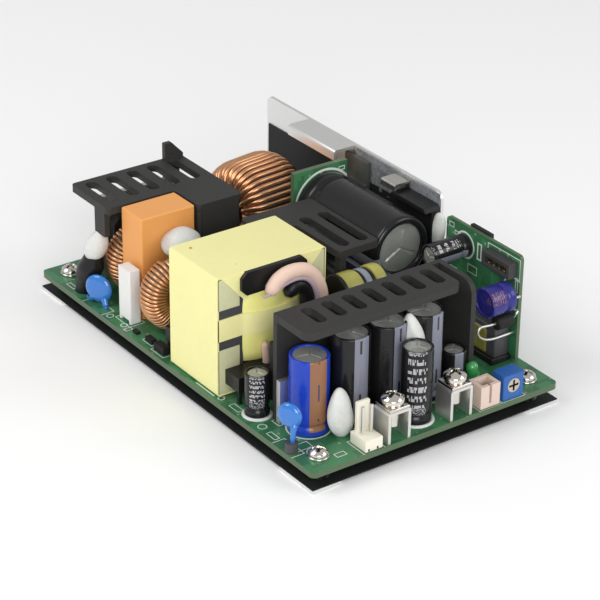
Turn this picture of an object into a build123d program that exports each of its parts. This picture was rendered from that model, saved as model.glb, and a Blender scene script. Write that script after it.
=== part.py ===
from build123d import *
import os

# An open-frame switching power supply: a loaded circuit board on an aluminium bracket whose
# one long side turns up into a wall. X runs along the board towards the output terminals,
# +Y is the side of the wall, Z is up, and zero is the underside of the bracket in the middle
# of the outline. All sizes are in millimetres. Heights of pieces are above the board's top.

os.makedirs("parts", exist_ok=True)

# Outline and stack
length = 127.0
width = 76.2
wall_top = 40.0
metal_t = 1.0
sheet_t = 0.3
standoff_height = 3.3
board_t = 1.6
board_corner_radius = 1.5

# The four sides, from which places near them are measured
half_length = length / 2
half_width = width / 2
input_end = -half_length
output_end = half_length
front_side = -half_width
wall_side = half_width

# Bracket feet and wall
foot_inset = 3.0
foot_angle = 45
front_recess = (input_end + 10.5, output_end - 13.5)
end_recess = (-30.0, 29.0)
rear_recess_end = output_end - 13.5
wall_end = 15.5
wall_corner_chamfer = 1.2
wall_corner_radius = 2.5
insulator_top = 31.9
insulator_inset = 1.0
lip_x = (-43.5, -22.0)
lip_depth = 7.0
lip_drop = 3.0
bend_radius = 0.9

# Fixing holes, standoffs and screws
hole_inset = 5.715
hole_pitch_x = length - 2 * hole_inset
hole_pitch_y = width - 2 * hole_inset
bore_radius = 1.6
standoff_radius = 2.7
screw_shank_radius = 1.5
screw_reach = 2.6
screw_head_radius = 2.75
screw_head_height = 1.9
screw_head_ease = 0.8
washer_radius = 3.4
washer_t = 0.6
board_hole_radius = 1.7
sheet_hole_gap = 0.25

fit_gap = 0.05

# Perforated covers
cover_t = 2.0
cover_wall_t = 1.5
cover_corner_radius = 1.2
cover_slot_width = 3.2
input_cover_height = 29.1
input_cover_x = (input_end + 10.5, input_end + 29.3, input_end + 40.9)
input_cover_y = (front_side + 4.2, front_side + 24.8, front_side + 38.8)
input_slot_x = (input_end + 12.3, input_end + 26.1)
input_slot_first_y = front_side + 8.6
input_slot_pitch = 6.4
input_slot_count = 5
input_tab_depth = 5.8
input_tab_flat = 2.2
input_tab_rise = 4.8
input_front_tab_x = (input_end + 22.5, input_end + 27.5)
input_front_tab_drop = 7.0
middle_cover_height = 27.1
middle_cover_x = (-13.5, -2.5, 16.7)
middle_cover_y = (-6.3, 3.5, 16.2)
middle_slot_x = (-5.0, 14.7)
middle_slot_y = (7.3, 13.2)
cover_post = 2.0
output_cover_height = 29.3
output_cover_x = (output_end - 26.2, output_end - 12.3)
output_cover_y = (front_side + 6.8, front_side + 53.8)
output_cover_edge_radius = 2.5
output_slot_x = (output_end - 24.1, output_end - 15.8)
output_slot_first_y = front_side + 14.2
output_slot_pitch = 6.0
output_slot_count = 7
end_wall_y = front_side + 56.1
end_wall_reach = 14.6
end_wall_radius = 4.0

# Input side
film_capacitor_x = (input_end + 30.0, input_end + 39.9)
film_capacitor_y = (front_side + 7.8, front_side + 24.3)
film_capacitor_height = 29.1
film_edge_radius = 0.5
resistor_x = (input_end + 34.9, input_end + 40.6)
resistor_y = (front_side + 3.4, front_side + 6.6)
resistor_height = 15.5
resistor_foot = 1.0
resistor_chamfer = 0.25
line_core_outer = 9.45
line_core_inner = 4.6
line_core_width = 6.3
line_wire = 1.0
line_turns_each = 20
line_turn_angle = 7.2
line_choke_a_y = -25.2
line_choke_b_y = -21.5
line_choke_a_x = input_end + 48.3
line_choke_b_x = input_end + 25.5
boost_core_outer = 12.2
boost_core_inner = 6.0
boost_core_width = 17.5
boost_wire = 1.35
boost_turns = 46
boost_choke_x = input_end + 21.0
boost_choke_y = 18.8
boost_choke_turn = 8
boost_core_ease = 2.8
line_core_ease = 1.3
choke_seat_gap = 0.1
turn_gap = 0.05
corner_growth = 2 - 2 ** 0.5
fuse_foot = (input_end + 16.5, front_side + 3.6)
fuse_head = (input_end + 23.3, front_side + 5.1)
fuse_head_height = 19.0
fuse_sleeve_radius = 2.8
fuse_neck_radius = 1.7
fuse_shoulder = 0.9
fuse_sleeve_height = 14.5
input_heatsink_x = (input_end + 12.1, input_end + 13.9)
input_heatsink_y = (-28.0, -1.0)
input_heatsink_height = 24.5
bridge_t = 3.6
bridge_y = (-25.0, -4.0)
bridge_height = (4.0, 19.0)
bridge_lead = 1.0
bridge_lead_pitch = 5.0
input_header_x = (input_end + 0.9, input_end + 8.9)
input_header_y = (-12.6, -2.6)

# Bulk capacitors and the upright board that carries them
capacitor_board_x = -20.3
capacitor_board_t = 1.6
capacitor_board_y = (3.0, 14.6, 32.1)
capacitor_board_height = (19.0, 32.3)
bulk_radius = 9.0
bulk_length = 34.5
bulk_disc_radius = 6.6
bulk_groove = 0.8
bulk_upper_y = 24.6
bulk_upper_height = 21.6
bulk_lower_y = 11.6
bulk_lower_length = 32.8

# Transformer
transformer_x = 10.9
transformer_y = -20.7
core_width = 20.8
core_length = 31.6
core_height = 31.8
core_plate_t = 4.5
window_margin = 3.0
core_post_radius = 6.7
core_lift = 0.8
tape_t = 0.5
flap_t = 0.3
flap_width = 6.2
flap_gap_low = (13.1, 15.6)
flap_gap_high = (21.6, 24.1)
bobbin_wall = 0.9
flange_t = 1.2
lower_flange_t = 2.4
winding_overhang = 1.8
post_gap = 0.2
hood_width = 19.5
hood_t = 1.2
hood_corner = 1.5
rail_reach = 6.0
rail_height = (3.6, 7.6)
rail_length = 28.0
rail_pin = 0.9
rail_pin_inset = 0.8
rail_pin_count = 6
sleeve_radius = 2.0
sleeve_points = ((-23.3, 28.3), (-16.2, 31.3), (-7.6, 22.3))
sleeve_foot = 4.0
sleeve_bends = 7
resonant_x = (17.4, 28.2)
resonant_y = (-2.0, 12.4)
resonant_height = 24.4
resonant_cheek_t = 1.2
resonant_radius = 5.2
resonant_base = 12.0

# Upright electrolytic capacitors: place, radius, height above board
output_capacitors = {
    "output_capacitor_blue": (output_end - 17.9, -26.5, 5.0, 20.6),
    "output_capacitor_1": (output_end - 16.3, -15.5, 5.0, 24.1),
    "output_capacitor_2": (output_end - 16.0, -4.7, 5.0, 24.1),
    "output_capacitor_3": (output_end - 15.5, 6.2, 5.0, 24.1),
    "output_capacitor_front": (output_end - 6.5, -2.6, 4.0, 20.5),
    "output_capacitor_small": (output_end - 13.3, 14.5, 3.15, 11.2),
    "start_capacitor": (output_end - 30.3, -33.1, 3.15, 11.9),
}
can_groove_height = 2.6
can_groove_depth = 0.5
can_lip = 0.7
can_recess = 0.4

# Devices on the wall
transistor_x = (-24.3, -14.3)
transistor_t = 3.1
transistor_height = (12.0, 31.9)
transistor_tab_t = 1.3
transistor_tab_height = 6.5
boot_x = (0.8, 16.0)
boot_t = 3.1
boot_hood_t = 5.2
boot_hood_height = 29.6
boot_height = (14.0, 31.0)
boot_corner = 1.0
clip_x = (-3.0, 3.0)
clip_t = 0.6
clip_below_top = 1.0
clip_reach = 5.6
clip_lip = 1.8
clip_tail = 2.0
device_lead = 0.8
device_lead_pitch = 5.08

# Output rectifiers and their heatsink
output_heatsink_t = 1.5
output_heatsink_height = 11.6
rectifier_t = 4.4
rectifier_width = 10.0
rectifier_height = (3.0, 19.0)
rectifier_y = (-24.4, -11.0, 3.0)

# Connectors and terminals at the output end
terminal_x = (output_end - 6.3, output_end - 0.3)
terminal_y = (-12.3, 6.8)
terminal_width = 6.8
terminal_height = 8.4
terminal_metal = 0.8
terminal_washer = 6.0
terminal_washer_t = 0.8
terminal_screw_radius = 2.9
terminal_screw_head = 2.2
terminal_screw_ease = 0.9
lock_washer_radius = 2.45
terminal_bend = 0.7
terminal_shank_radius = 1.6
terminal_shank_length = 5.0
fan_header_x = (output_end - 6.6, output_end - 0.3)
fan_header_y = (-22.4, -17.2)
header_body = 3.2
lock_height = 11.5
lock_inset = 0.7
pin_height = 10.9
header_wall = 1.1
header_pin = 0.7
signal_header_x = (output_end - 5.7, output_end - 0.4)
signal_header_y = (13.1, 19.2)
signal_header_body = 6.2
signal_pin_pitch = 2.0
trimmer_x = (output_end - 4.9, output_end - 0.5)
trimmer_y = (20.4, 26.9)
trimmer_height = 6.9
trimmer_axis_height = 3.7
rotor_radius = 1.9
rotor_depth = 0.9
rotor_shaft_radius = 1.0
rotor_shaft_depth = 2.4
rotor_gap = 0.05
rotor_slot = 0.6
rotor_slot_length = 3.0
trimmer_ease = 0.25
led_place = (output_end - 14.8, wall_side - 16.6)
led_radius = 1.6
led_flange = 0.3
led_height = 4.8

# Control board that stands across the end of the wall
control_x = (output_end - 44.0, output_end - 14.4)
control_face = wall_side - 2.1
control_t = 1.0
control_height = 29.9
control_corner = 1.2
control_header_x = (output_end - 26.2, output_end - 15.5)
control_header_z = (23.8, 28.0)
control_header_depth = 3.0
grey_capacitor = (output_end - 36.3, 24.4, 3.15, 12.0)
violet_capacitor = (output_end - 16.3, 18.9, 4.0, 9.8)
violet_lead_gap = 2.2
diode_radius = 1.8
diode_length = 5.0
diode_place = (output_end - 15.7, 12.3)
diode_gap = 1.2
diode_wire = 0.4
auxiliary_x = (output_end - 32.5, output_end - 15.9)
auxiliary_y = (wall_side - 8.7, wall_side - 2.3)
auxiliary_height = 10.2
auxiliary_edge_radius = 1.0
control_chip_places = (
    ((output_end - 35.6, output_end - 27.6), (26.2, 30.4)),
    ((output_end - 39.5, output_end - 29.5), (14.0, 20.0)),
    ((output_end - 24.5, output_end - 18.5), (8.0, 12.0)),
)

# Small parts
disc_left = (input_end + 26.5, front_side + 1.9)
disc_left_radius = 4.0
disc_left_height = 5.3
disc_t = 2.6
disc_front = (output_end - 12.8, front_side + 1.7)
disc_front_radius = 3.3
disc_front_height = 8.8
disc_front_t = 2.6
disc_edge = 0.9
disc_lead_radius = 0.5
bead_radius = 1.6
bead_height = 2.6
chip_places = (
    ((-14.0, -11.0), (-35.8, -34.2), 1.2),
    ((-8.5, -4.1), (-36.6, -34.5), 2.2),
    ((-19.5, -17.5), (-36.2, -35.0), 0.8),
    ((26.0, 31.0), (22.0, 26.0), 1.6),
)

wall_inner = half_width - metal_t
board_bottom = metal_t + standoff_height
board_top = board_bottom + board_t
wall_x = (-half_length, wall_end)
insulator_face = wall_inner - sheet_t


def middle(span):
    """The middle of a low and high value."""
    return (span[0] + span[1]) / 2


def above(height):
    """A height above the board as a height above the underside."""
    return board_top + height


def block(x, y, z, mode=Mode.ADD):
    """A box between the low and high value of each axis."""
    with Locations((x[0], y[0], z[0])):
        Box(x[1] - x[0], y[1] - y[0], z[1] - z[0], align=(Align.MIN, Align.MIN, Align.MIN), mode=mode)


def pin(x, y, z, radius, mode=Mode.ADD):
    """An upright round pin between two heights."""
    with Locations((x, y, z[0])):
        Cylinder(radius, z[1] - z[0], align=(Align.CENTER, Align.CENTER, Align.MIN), mode=mode)


def flat_lead(x, y, z):
    """A square lead between two heights."""
    block((x - device_lead / 2, x + device_lead / 2), (y - device_lead / 2, y + device_lead / 2), z)


def upright(x, y, z):
    """The plane through a point with its own x along X and its own y along Z."""
    return Plane(origin=(x, y, z), x_dir=(1, 0, 0), z_dir=(0, -1, 0))


def save(part, label):
    """Label one finished piece and write it."""
    part.label = label
    export_step(part, f"parts/{label}.step")


# Bracket: a floor that shows only at its corner feet, and the wall with its folded lip
with BuildPart() as base_bracket:
    with BuildSketch():
        Rectangle(length, width)
        with Locations((middle(front_recess), -half_width)):
            Trapezoid(front_recess[1] - front_recess[0], foot_inset, foot_angle,
                      align=(Align.CENTER, Align.MIN), mode=Mode.SUBTRACT)
        with Locations((half_length, middle(end_recess))):
            Trapezoid(end_recess[1] - end_recess[0], foot_inset, foot_angle, rotation=90,
                      align=(Align.CENTER, Align.MIN), mode=Mode.SUBTRACT)
        with Locations((-half_length, middle(end_recess))):
            Trapezoid(end_recess[1] - end_recess[0], foot_inset, foot_angle, rotation=-90,
                      align=(Align.CENTER, Align.MIN), mode=Mode.SUBTRACT)
        with Locations((middle((wall_end, rear_recess_end)), half_width)):
            Trapezoid(rear_recess_end - wall_end, foot_inset, foot_angle, rotation=180,
                      align=(Align.CENTER, Align.MIN), mode=Mode.SUBTRACT)
    extrude(amount=metal_t)
    block(wall_x, (wall_inner, half_width), (0, wall_top))
    wall_corners = base_bracket.edges().filter_by(Axis.Y).group_by(Axis.Z)[-1].sort_by(Axis.X)
    chamfer(wall_corners[0], wall_corner_chamfer)
    wall_corners = base_bracket.edges().filter_by(Axis.Y).group_by(Axis.Z)[-1].sort_by(Axis.X)
    fillet(wall_corners[-1], wall_corner_radius)
    bend = base_bracket.edges().filter_by(Axis.X).group_by(Axis.Z)[0].sort_by(Axis.Y)[-1]
    fillet(bend, bend_radius)
    block(lip_x, (wall_inner - lip_depth, wall_inner), (wall_top - metal_t, wall_top))
    lip_front = (wall_inner - lip_depth, wall_inner - lip_depth + metal_t)
    block(lip_x, lip_front, (wall_top - lip_drop, wall_top))
    lip_edge = base_bracket.edges().filter_by(Axis.X).group_by(Axis.Z)[-1].sort_by(Axis.Y)[0]
    fillet(lip_edge, bend_radius)
    with GridLocations(hole_pitch_x, hole_pitch_y, 2, 2):
        Hole(bore_radius)
base_bracket.part.label = "base_bracket"
export_step(base_bracket.part, "parts/base_bracket.step")

# Black insulating sheet under the board, turned up in front of the wall
with BuildPart() as insulating_sheet:
    with BuildSketch(Plane.XY.offset(metal_t)):
        Rectangle(length, width)
        with GridLocations(hole_pitch_x, hole_pitch_y, 2, 2):
            Circle(standoff_radius + sheet_hole_gap, mode=Mode.SUBTRACT)
    extrude(amount=sheet_t)
    block(wall_x, (wall_inner, half_width), (metal_t, metal_t + sheet_t), mode=Mode.SUBTRACT)
    block((wall_x[0] + insulator_inset, wall_end), (insulator_face, wall_inner), (metal_t, insulator_top))
insulating_sheet.part.label = "insulating_sheet"
export_step(insulating_sheet.part, "parts/insulating_sheet.step")

# Circuit board, relieved along the wall
with BuildPart() as main_board:
    with BuildSketch(Plane.XY.offset(board_bottom)):
        RectangleRounded(length, width, board_corner_radius)
        with Locations((-half_length, half_width)):
            Rectangle(wall_end + half_length + sheet_hole_gap, metal_t + 2 * sheet_t,
                      align=(Align.MIN, Align.MAX), mode=Mode.SUBTRACT)
        with GridLocations(hole_pitch_x, hole_pitch_y, 2, 2):
            Circle(board_hole_radius, mode=Mode.SUBTRACT)
    extrude(amount=board_t)
main_board.part.label = "main_board"
export_step(main_board.part, "parts/main_board.step")

# Four six-sided threaded standoffs between bracket and board
with BuildPart() as board_standoffs:
    with BuildSketch(Plane.XY.offset(metal_t)):
        with GridLocations(hole_pitch_x, hole_pitch_y, 2, 2):
            RegularPolygon(standoff_radius, 6)
            Circle(bore_radius, mode=Mode.SUBTRACT)
    extrude(amount=standoff_height)
board_standoffs.part.label = "board_standoffs"
export_step(board_standoffs.part, "parts/board_standoffs.step")

# Four board screws with washers, short enough to leave the lower bores free
with BuildPart() as board_screws:
    with BuildSketch(Plane.XY.offset(board_top - screw_reach)):
        with GridLocations(hole_pitch_x, hole_pitch_y, 2, 2):
            Circle(screw_shank_radius)
    extrude(amount=screw_reach)
    with BuildSketch(Plane.XY.offset(board_top)):
        with GridLocations(hole_pitch_x, hole_pitch_y, 2, 2):
            Circle(washer_radius)
    extrude(amount=washer_t)
    with BuildSketch(Plane.XY.offset(board_top + washer_t)):
        with GridLocations(hole_pitch_x, hole_pitch_y, 2, 2):
            Circle(screw_head_radius)
    extrude(amount=screw_head_height)
    head_rims = board_screws.edges().filter_by(GeomType.CIRCLE).group_by(Axis.Z)[-1]
    chamfer(head_rims, screw_head_ease)
board_screws.part.label = "board_screws"
export_step(board_screws.part, "parts/board_screws.step")


def slots(x, first_y, pitch, count, top):
    """Cut a row of long round-ended slots through a cover's plate."""
    rows = [(middle(x), first_y + pitch * row) for row in range(count)]
    with BuildSketch(Plane.XY.offset(top - cover_t)) as openings:
        with Locations(*rows):
            SlotOverall(x[1] - x[0], cover_slot_width)
    extrude(openings.sketch, amount=cover_t, mode=Mode.SUBTRACT)


def cover_outline(points, top, radius):
    """The plate of a cover: a closed outline with its corners rounded."""
    with BuildSketch(Plane.XY.offset(top - cover_t)) as outline:
        with BuildLine():
            Polyline(*points, close=True)
        make_face()
        fillet(outline.vertices(), radius)
    extrude(outline.sketch, amount=cover_t)


# Input cover: an L-shaped slotted plate with a side wall, corner post and upright tab
with BuildPart() as input_cover:
    left, step, right = input_cover_x
    front, notch, back = input_cover_y
    plate_top = above(input_cover_height)
    plate_low = plate_top - cover_t
    corners = [(left, front), (step, front), (step, notch), (right, notch), (right, back), (left, back)]
    cover_outline(corners, plate_top, cover_corner_radius)
    slots(input_slot_x, input_slot_first_y, input_slot_pitch, input_slot_count, plate_top)
    side_y = (notch + cover_corner_radius, back - cover_corner_radius)
    block((right - cover_wall_t, right), side_y, (board_top, plate_low))
    block((left, left + cover_wall_t), (back - input_tab_depth, back - cover_corner_radius),
          (board_top, plate_low))
    block(input_front_tab_x, (front, front + cover_wall_t), (plate_low - input_front_tab_drop, plate_low))
    with BuildSketch(Plane.YZ.offset(left)):
        with BuildLine():
            Polyline((back - input_tab_depth, plate_low), (back - input_tab_depth, plate_top + input_tab_rise),
                     (back - input_tab_depth + input_tab_flat, plate_top + input_tab_rise),
                     (back, plate_top + cover_t / 2), (back, plate_low), close=True)
        make_face()
    extrude(amount=cover_wall_t)
input_cover.part.label = "input_cover"
export_step(input_cover.part, "parts/input_cover.step")

# Middle cover: a slotted plate on posts over the lower bulk capacitor
with BuildPart() as middle_cover:
    left, step, right = middle_cover_x
    front, notch, back = middle_cover_y
    plate_top = above(middle_cover_height)
    plate_low = plate_top - cover_t
    corners = [(left, front), (step, front), (step, notch), (right, notch), (right, back), (left, back)]
    cover_outline(corners, plate_top, cover_corner_radius)
    slots(middle_slot_x, middle_slot_y[0], middle_slot_y[1] - middle_slot_y[0], 2, plate_top)
    post_inset = cover_corner_radius / 2
    block((left + post_inset, left + post_inset + cover_post),
          (front + post_inset, front + post_inset + cover_post), (board_top, plate_low))
    block((right - post_inset - cover_post, right - post_inset),
          (notch + post_inset, notch + post_inset + cover_post), (board_top, plate_low))
middle_cover.part.label = "middle_cover"
export_step(middle_cover.part, "parts/middle_cover.step")

# Output cover: slotted plate, full-height back wall and a round-shouldered end wall
with BuildPart() as output_cover:
    back_x, front_x = output_cover_x
    low_y, high_y = output_cover_y
    plate_top = above(output_cover_height)
    corners = [(back_x, low_y), (front_x, low_y), (front_x, high_y), (back_x, high_y)]
    with BuildSketch(Plane.XY.offset(plate_top - cover_t)) as plate_outline:
        with BuildLine():
            Polyline(*corners, close=True)
        make_face()
        fillet(plate_outline.vertices().group_by(Axis.X)[-1], output_cover_edge_radius)
    extrude(amount=cover_t)
    slots(output_slot_x, output_slot_first_y, output_slot_pitch, output_slot_count, plate_top)
    block((back_x, back_x + cover_wall_t), (low_y, end_wall_y + cover_wall_t), (board_top, plate_top))
    with BuildSketch(upright(back_x, end_wall_y + cover_wall_t, board_top)) as end_wall:
        Rectangle(end_wall_reach, output_cover_height, align=(Align.MIN, Align.MIN))
        shoulder = end_wall.vertices().group_by(Axis.Y)[-1].sort_by(Axis.X)[-1]
        fillet(shoulder, end_wall_radius)
    extrude(amount=cover_wall_t)
output_cover.part.label = "output_cover"
export_step(output_cover.part, "parts/output_cover.step")

# Orange film capacitor
with BuildPart() as film_capacitor:
    block(film_capacitor_x, film_capacitor_y, (board_top, above(film_capacitor_height)))
    soft_edges = film_capacitor.edges().filter_by(Axis.Z) + film_capacitor.edges().group_by(Axis.Z)[-1]
    fillet(soft_edges, film_edge_radius)
film_capacitor.part.label = "film_capacitor"
export_step(film_capacitor.part, "parts/film_capacitor.step")

# White ceramic-cased resistor standing on two feet
with BuildPart() as ceramic_resistor:
    block(resistor_x, resistor_y, (board_top, above(resistor_height)))
    opening = (resistor_x[0] + resistor_foot, resistor_x[1] - resistor_foot)
    block(opening, resistor_y, (board_top, above(resistor_foot)), mode=Mode.SUBTRACT)
    chamfer(ceramic_resistor.edges().filter_by(Axis.Z).group_by(Axis.Y)[0], resistor_chamfer)
ceramic_resistor.part.label = "ceramic_resistor"
export_step(ceramic_resistor.part, "parts/ceramic_resistor.step")


def toroid_core(plane, outer, inner, core_width, ease, label):
    """A ring core with eased rims, centred on its plane."""
    with BuildPart() as core:
        with BuildSketch(plane):
            Circle(outer)
            Circle(inner, mode=Mode.SUBTRACT)
        extrude(amount=core_width / 2, both=True)
        chamfer(core.edges().filter_by(GeomType.CIRCLE), ease)
    save(core.part, label)


def wire_turn(outer, inner, core_width, ease, wire):
    """One closed turn of wire round the eased section of a ring core, its middle at zero."""
    depth = outer - inner + 2 * turn_gap
    breadth = core_width + 2 * turn_gap
    with BuildPart() as turn:
        with BuildSketch(Plane.XZ) as section:
            Rectangle(depth + 2 * wire, breadth + 2 * wire)
            chamfer(section.vertices(), ease + wire * corner_growth)
            with BuildSketch(Plane.XZ, mode=Mode.PRIVATE) as hollow:
                Rectangle(depth, breadth)
                chamfer(hollow.vertices(), ease)
            add(hollow.sketch, mode=Mode.SUBTRACT)
        extrude(amount=wire / 2, both=True)
    return turn.part


def toroid_winding(plane, outer, inner, core_width, ease, wire, turns, label):
    """Turns of wire round a ring core; turns lists each run as a first angle, step and count."""
    turn = wire_turn(outer, inner, core_width, ease, wire)
    with BuildPart(plane) as winding:
        for first, step, count in turns:
            with PolarLocations((outer + inner) / 2, count, first, step * (count - 1), endpoint=True):
                add(turn)
    save(winding.part, label)


def choke_planes():
    """Centre planes of the three chokes, each standing on its winding."""
    line_height = above(line_core_outer + line_wire + choke_seat_gap)
    boost_height = above(boost_core_outer + boost_wire + choke_seat_gap)
    first = Plane(origin=(line_choke_a_x, line_choke_a_y, line_height), x_dir=(0, 1, 0), z_dir=(1, 0, 0))
    second = Plane(origin=(line_choke_b_x, line_choke_b_y, line_height), x_dir=(0, 1, 0), z_dir=(1, 0, 0))
    level = Plane(origin=(boost_choke_x, boost_choke_y, boost_height), x_dir=(1, 0, 0), z_dir=(0, -1, 0))
    boost = level.rotated((0, boost_choke_turn, 0))
    return first, second, boost


# Two line chokes with two windings each, and the larger boost choke wound all round
choke_a, choke_b, boost_plane = choke_planes()
half_fan = line_turn_angle * (line_turns_each - 1) / 2
line_runs = [(-half_fan, line_turn_angle, line_turns_each), (180 - half_fan, line_turn_angle, line_turns_each)]
boost_runs = [(0, 360 / boost_turns, boost_turns)]
toroid_core(choke_a, line_core_outer, line_core_inner, line_core_width, line_core_ease,
             "line_choke_core_a")
toroid_core(choke_b, line_core_outer, line_core_inner, line_core_width, line_core_ease,
             "line_choke_core_b")
toroid_core(boost_plane, boost_core_outer, boost_core_inner, boost_core_width, boost_core_ease,
            "boost_choke_core")
toroid_winding(choke_a, line_core_outer, line_core_inner, line_core_width, line_core_ease, line_wire,
               line_runs, "line_choke_winding_a")
toroid_winding(choke_b, line_core_outer, line_core_inner, line_core_width, line_core_ease, line_wire,
               line_runs, "line_choke_winding_b")
toroid_winding(boost_plane, boost_core_outer, boost_core_inner, boost_core_width, boost_core_ease,
               boost_wire, boost_runs, "boost_choke_winding")

# Sleeved fuse leaning against the input cover
with BuildPart() as line_fuse:
    lean = Vector(*fuse_head, above(fuse_head_height)) - Vector(*fuse_foot, board_top)
    fuse_plane = Plane(origin=(fuse_foot[0], fuse_foot[1], board_top), z_dir=lean)
    with BuildSketch(fuse_plane):
        Circle(fuse_sleeve_radius)
    extrude(amount=fuse_sleeve_height)
    chamfer(line_fuse.edges().group_by(Axis.Z)[-1], fuse_shoulder)
    with BuildSketch(fuse_plane):
        Circle(fuse_neck_radius)
    extrude(amount=lean.length)
    block((fuse_foot[0] - 2 * fuse_sleeve_radius, fuse_foot[0] + 2 * fuse_sleeve_radius),
          (fuse_foot[1] - 2 * fuse_sleeve_radius, fuse_foot[1] + 2 * fuse_sleeve_radius),
          (board_bottom - board_t, board_top), mode=Mode.SUBTRACT)
line_fuse.part.label = "line_fuse"
export_step(line_fuse.part, "parts/line_fuse.step")

# Input heatsink and the bridge rectifier fixed to it
with BuildPart() as input_heatsink:
    block(input_heatsink_x, input_heatsink_y, (board_top, above(input_heatsink_height)))
    chamfer(input_heatsink.edges().filter_by(Axis.X).group_by(Axis.Z)[-1], bend_radius)
input_heatsink.part.label = "input_heatsink"
export_step(input_heatsink.part, "parts/input_heatsink.step")

with BuildPart() as bridge_rectifier:
    bridge_x = (input_heatsink_x[1], input_heatsink_x[1] + bridge_t)
    block(bridge_x, bridge_y, (above(bridge_height[0]), above(bridge_height[1])))
    chamfer(bridge_rectifier.edges().filter_by(Axis.X).group_by(Axis.Z)[-1].sort_by(Axis.Y)[0], bridge_t / 2)
    for lead in range(4):
        lead_y = middle(bridge_y) + (lead - 1.5) * bridge_lead_pitch
        block((middle(bridge_x) - bridge_lead / 2, middle(bridge_x) + bridge_lead / 2),
              (lead_y - bridge_lead / 2, lead_y + bridge_lead / 2), (board_top, above(bridge_height[0])))
bridge_rectifier.part.label = "bridge_rectifier"
export_step(bridge_rectifier.part, "parts/bridge_rectifier.step")


def pin_header(x, y, pins, back, label):
    """A low body with upright pins and a locking tab; back is 1 if the tab stands on the +X side."""
    with BuildPart() as header:
        block(x, y, (board_top, above(header_body)))
        tab_x = (x[0] + lock_inset, x[0] + lock_inset + header_wall)
        if back == 1:
            tab_x = (x[1] - lock_inset - header_wall, x[1] - lock_inset)
        block(tab_x, (y[0] + lock_inset, y[1] - lock_inset), (above(header_body), above(lock_height)))
        pitch = (y[1] - y[0]) / pins
        for place in range(pins):
            pin_y = y[0] + pitch * (place + 0.5)
            block((middle(x) - header_pin / 2, middle(x) + header_pin / 2),
                  (pin_y - header_pin / 2, pin_y + header_pin / 2), (above(header_body), above(pin_height)))
    save(header.part, label)


pin_header(fan_header_x, fan_header_y, 2, -1, "fan_header")
pin_header(input_header_x, input_header_y, 3, 1, "input_header")

# Shrouded two-way header, its outer wall slotted down the middle
with BuildPart() as signal_header:
    block(signal_header_x, signal_header_y, (board_top, above(signal_header_body)))
    mouth_x = (signal_header_x[0] + header_wall, signal_header_x[1] - header_wall)
    mouth_y = (signal_header_y[0] + header_wall, signal_header_y[1] - header_wall)
    block(mouth_x, mouth_y, (above(header_wall), above(signal_header_body)), mode=Mode.SUBTRACT)
    slot_y = (middle(signal_header_y) - header_pin / 2, middle(signal_header_y) + header_pin / 2)
    block((mouth_x[1], signal_header_x[1]), slot_y, (above(header_wall), above(signal_header_body)),
          mode=Mode.SUBTRACT)
    for side in (-1, 1):
        pin_y = middle(signal_header_y) + side * signal_pin_pitch / 2
        block((middle(mouth_x) - header_pin / 2, middle(mouth_x) + header_pin / 2),
              (pin_y - header_pin / 2, pin_y + header_pin / 2),
              (above(header_wall), above(signal_header_body - header_wall)))
signal_header.part.label = "signal_header"
export_step(signal_header.part, "parts/signal_header.step")

# Upright board for the bulk capacitors, stepped where the lower one ends
with BuildPart() as capacitor_board:
    low_y, step_y, high_y = capacitor_board_y
    low_top, high_top = above(capacitor_board_height[0]), above(capacitor_board_height[1])
    with BuildSketch(Plane.YZ.offset(capacitor_board_x)):
        with BuildLine():
            Polyline((low_y, board_top), (high_y, board_top), (high_y, high_top), (step_y, high_top),
                     (step_y, low_top), (low_y, low_top), close=True)
        make_face()
    extrude(amount=capacitor_board_t)
capacitor_board.part.label = "capacitor_board"
export_step(capacitor_board.part, "parts/capacitor_board.step")


def can_profile(radius, height, disc_radius, groove_height, groove_depth):
    """Half the section of a sleeved can: foot, crimped groove, rolled lip and sunk end disc."""
    return [(0, 0), (radius, 0), (radius, groove_height - groove_depth),
            (radius - groove_depth, groove_height), (radius, groove_height + groove_depth),
            (radius, height - can_recess), (radius - can_recess, height), (disc_radius, height),
            (disc_radius, height - can_recess), (0, height - can_recess)]


def sleeved_can(plane, radius, height, disc_radius, groove_height, groove_depth, label, lead_gap=0):
    """A can turned about the y direction of its plane; with a lead gap two leads bridge to its carrier."""
    with BuildPart() as can:
        with BuildSketch(plane):
            with BuildLine():
                Polyline(*can_profile(radius, height, disc_radius, groove_height, groove_depth), close=True)
            make_face()
        revolve(axis=Axis(plane.origin, plane.y_dir))
        if lead_gap > 0:
            with BuildSketch(Plane(origin=plane.origin, x_dir=plane.x_dir, z_dir=plane.y_dir)):
                with GridLocations(0, radius, 1, 2):
                    Circle(disc_lead_radius)
            extrude(amount=-lead_gap)
    save(can.part, label)


# Bulk capacitors lie along X out of their board
bulk_foot_x = capacitor_board_x + capacitor_board_t
bulk_places = {
    "bulk_capacitor_upper": (bulk_upper_y, above(bulk_upper_height), bulk_length),
    "bulk_capacitor_lower": (bulk_lower_y, above(bulk_radius), bulk_lower_length),
}
for label, (y, z, can_length) in bulk_places.items():
    lying = Plane(origin=(bulk_foot_x, y, z), x_dir=(0, 0, 1), z_dir=(0, 1, 0))
    sleeved_can(lying, bulk_radius, can_length, bulk_disc_radius, 2 * can_groove_height, bulk_groove, label)

# Upright capacitors of the output side
for label, (x, y, radius, height) in output_capacitors.items():
    sleeved_can(upright(x, y, board_top), radius, height, radius - can_lip, can_groove_height,
                can_groove_depth, label)

# Transformer: two core halves on a bobbin that stands on the board
core_low = above(core_lift)
core_high = core_low + core_height
core_mid = (core_low + core_high) / 2
window_low = core_low + core_plate_t
window_high = core_high - core_plate_t
core_half_width = core_width / 2
core_half_length = core_length / 2
core_window_radius = core_half_width + window_margin
winding_radius = core_half_width + winding_overhang


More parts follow.
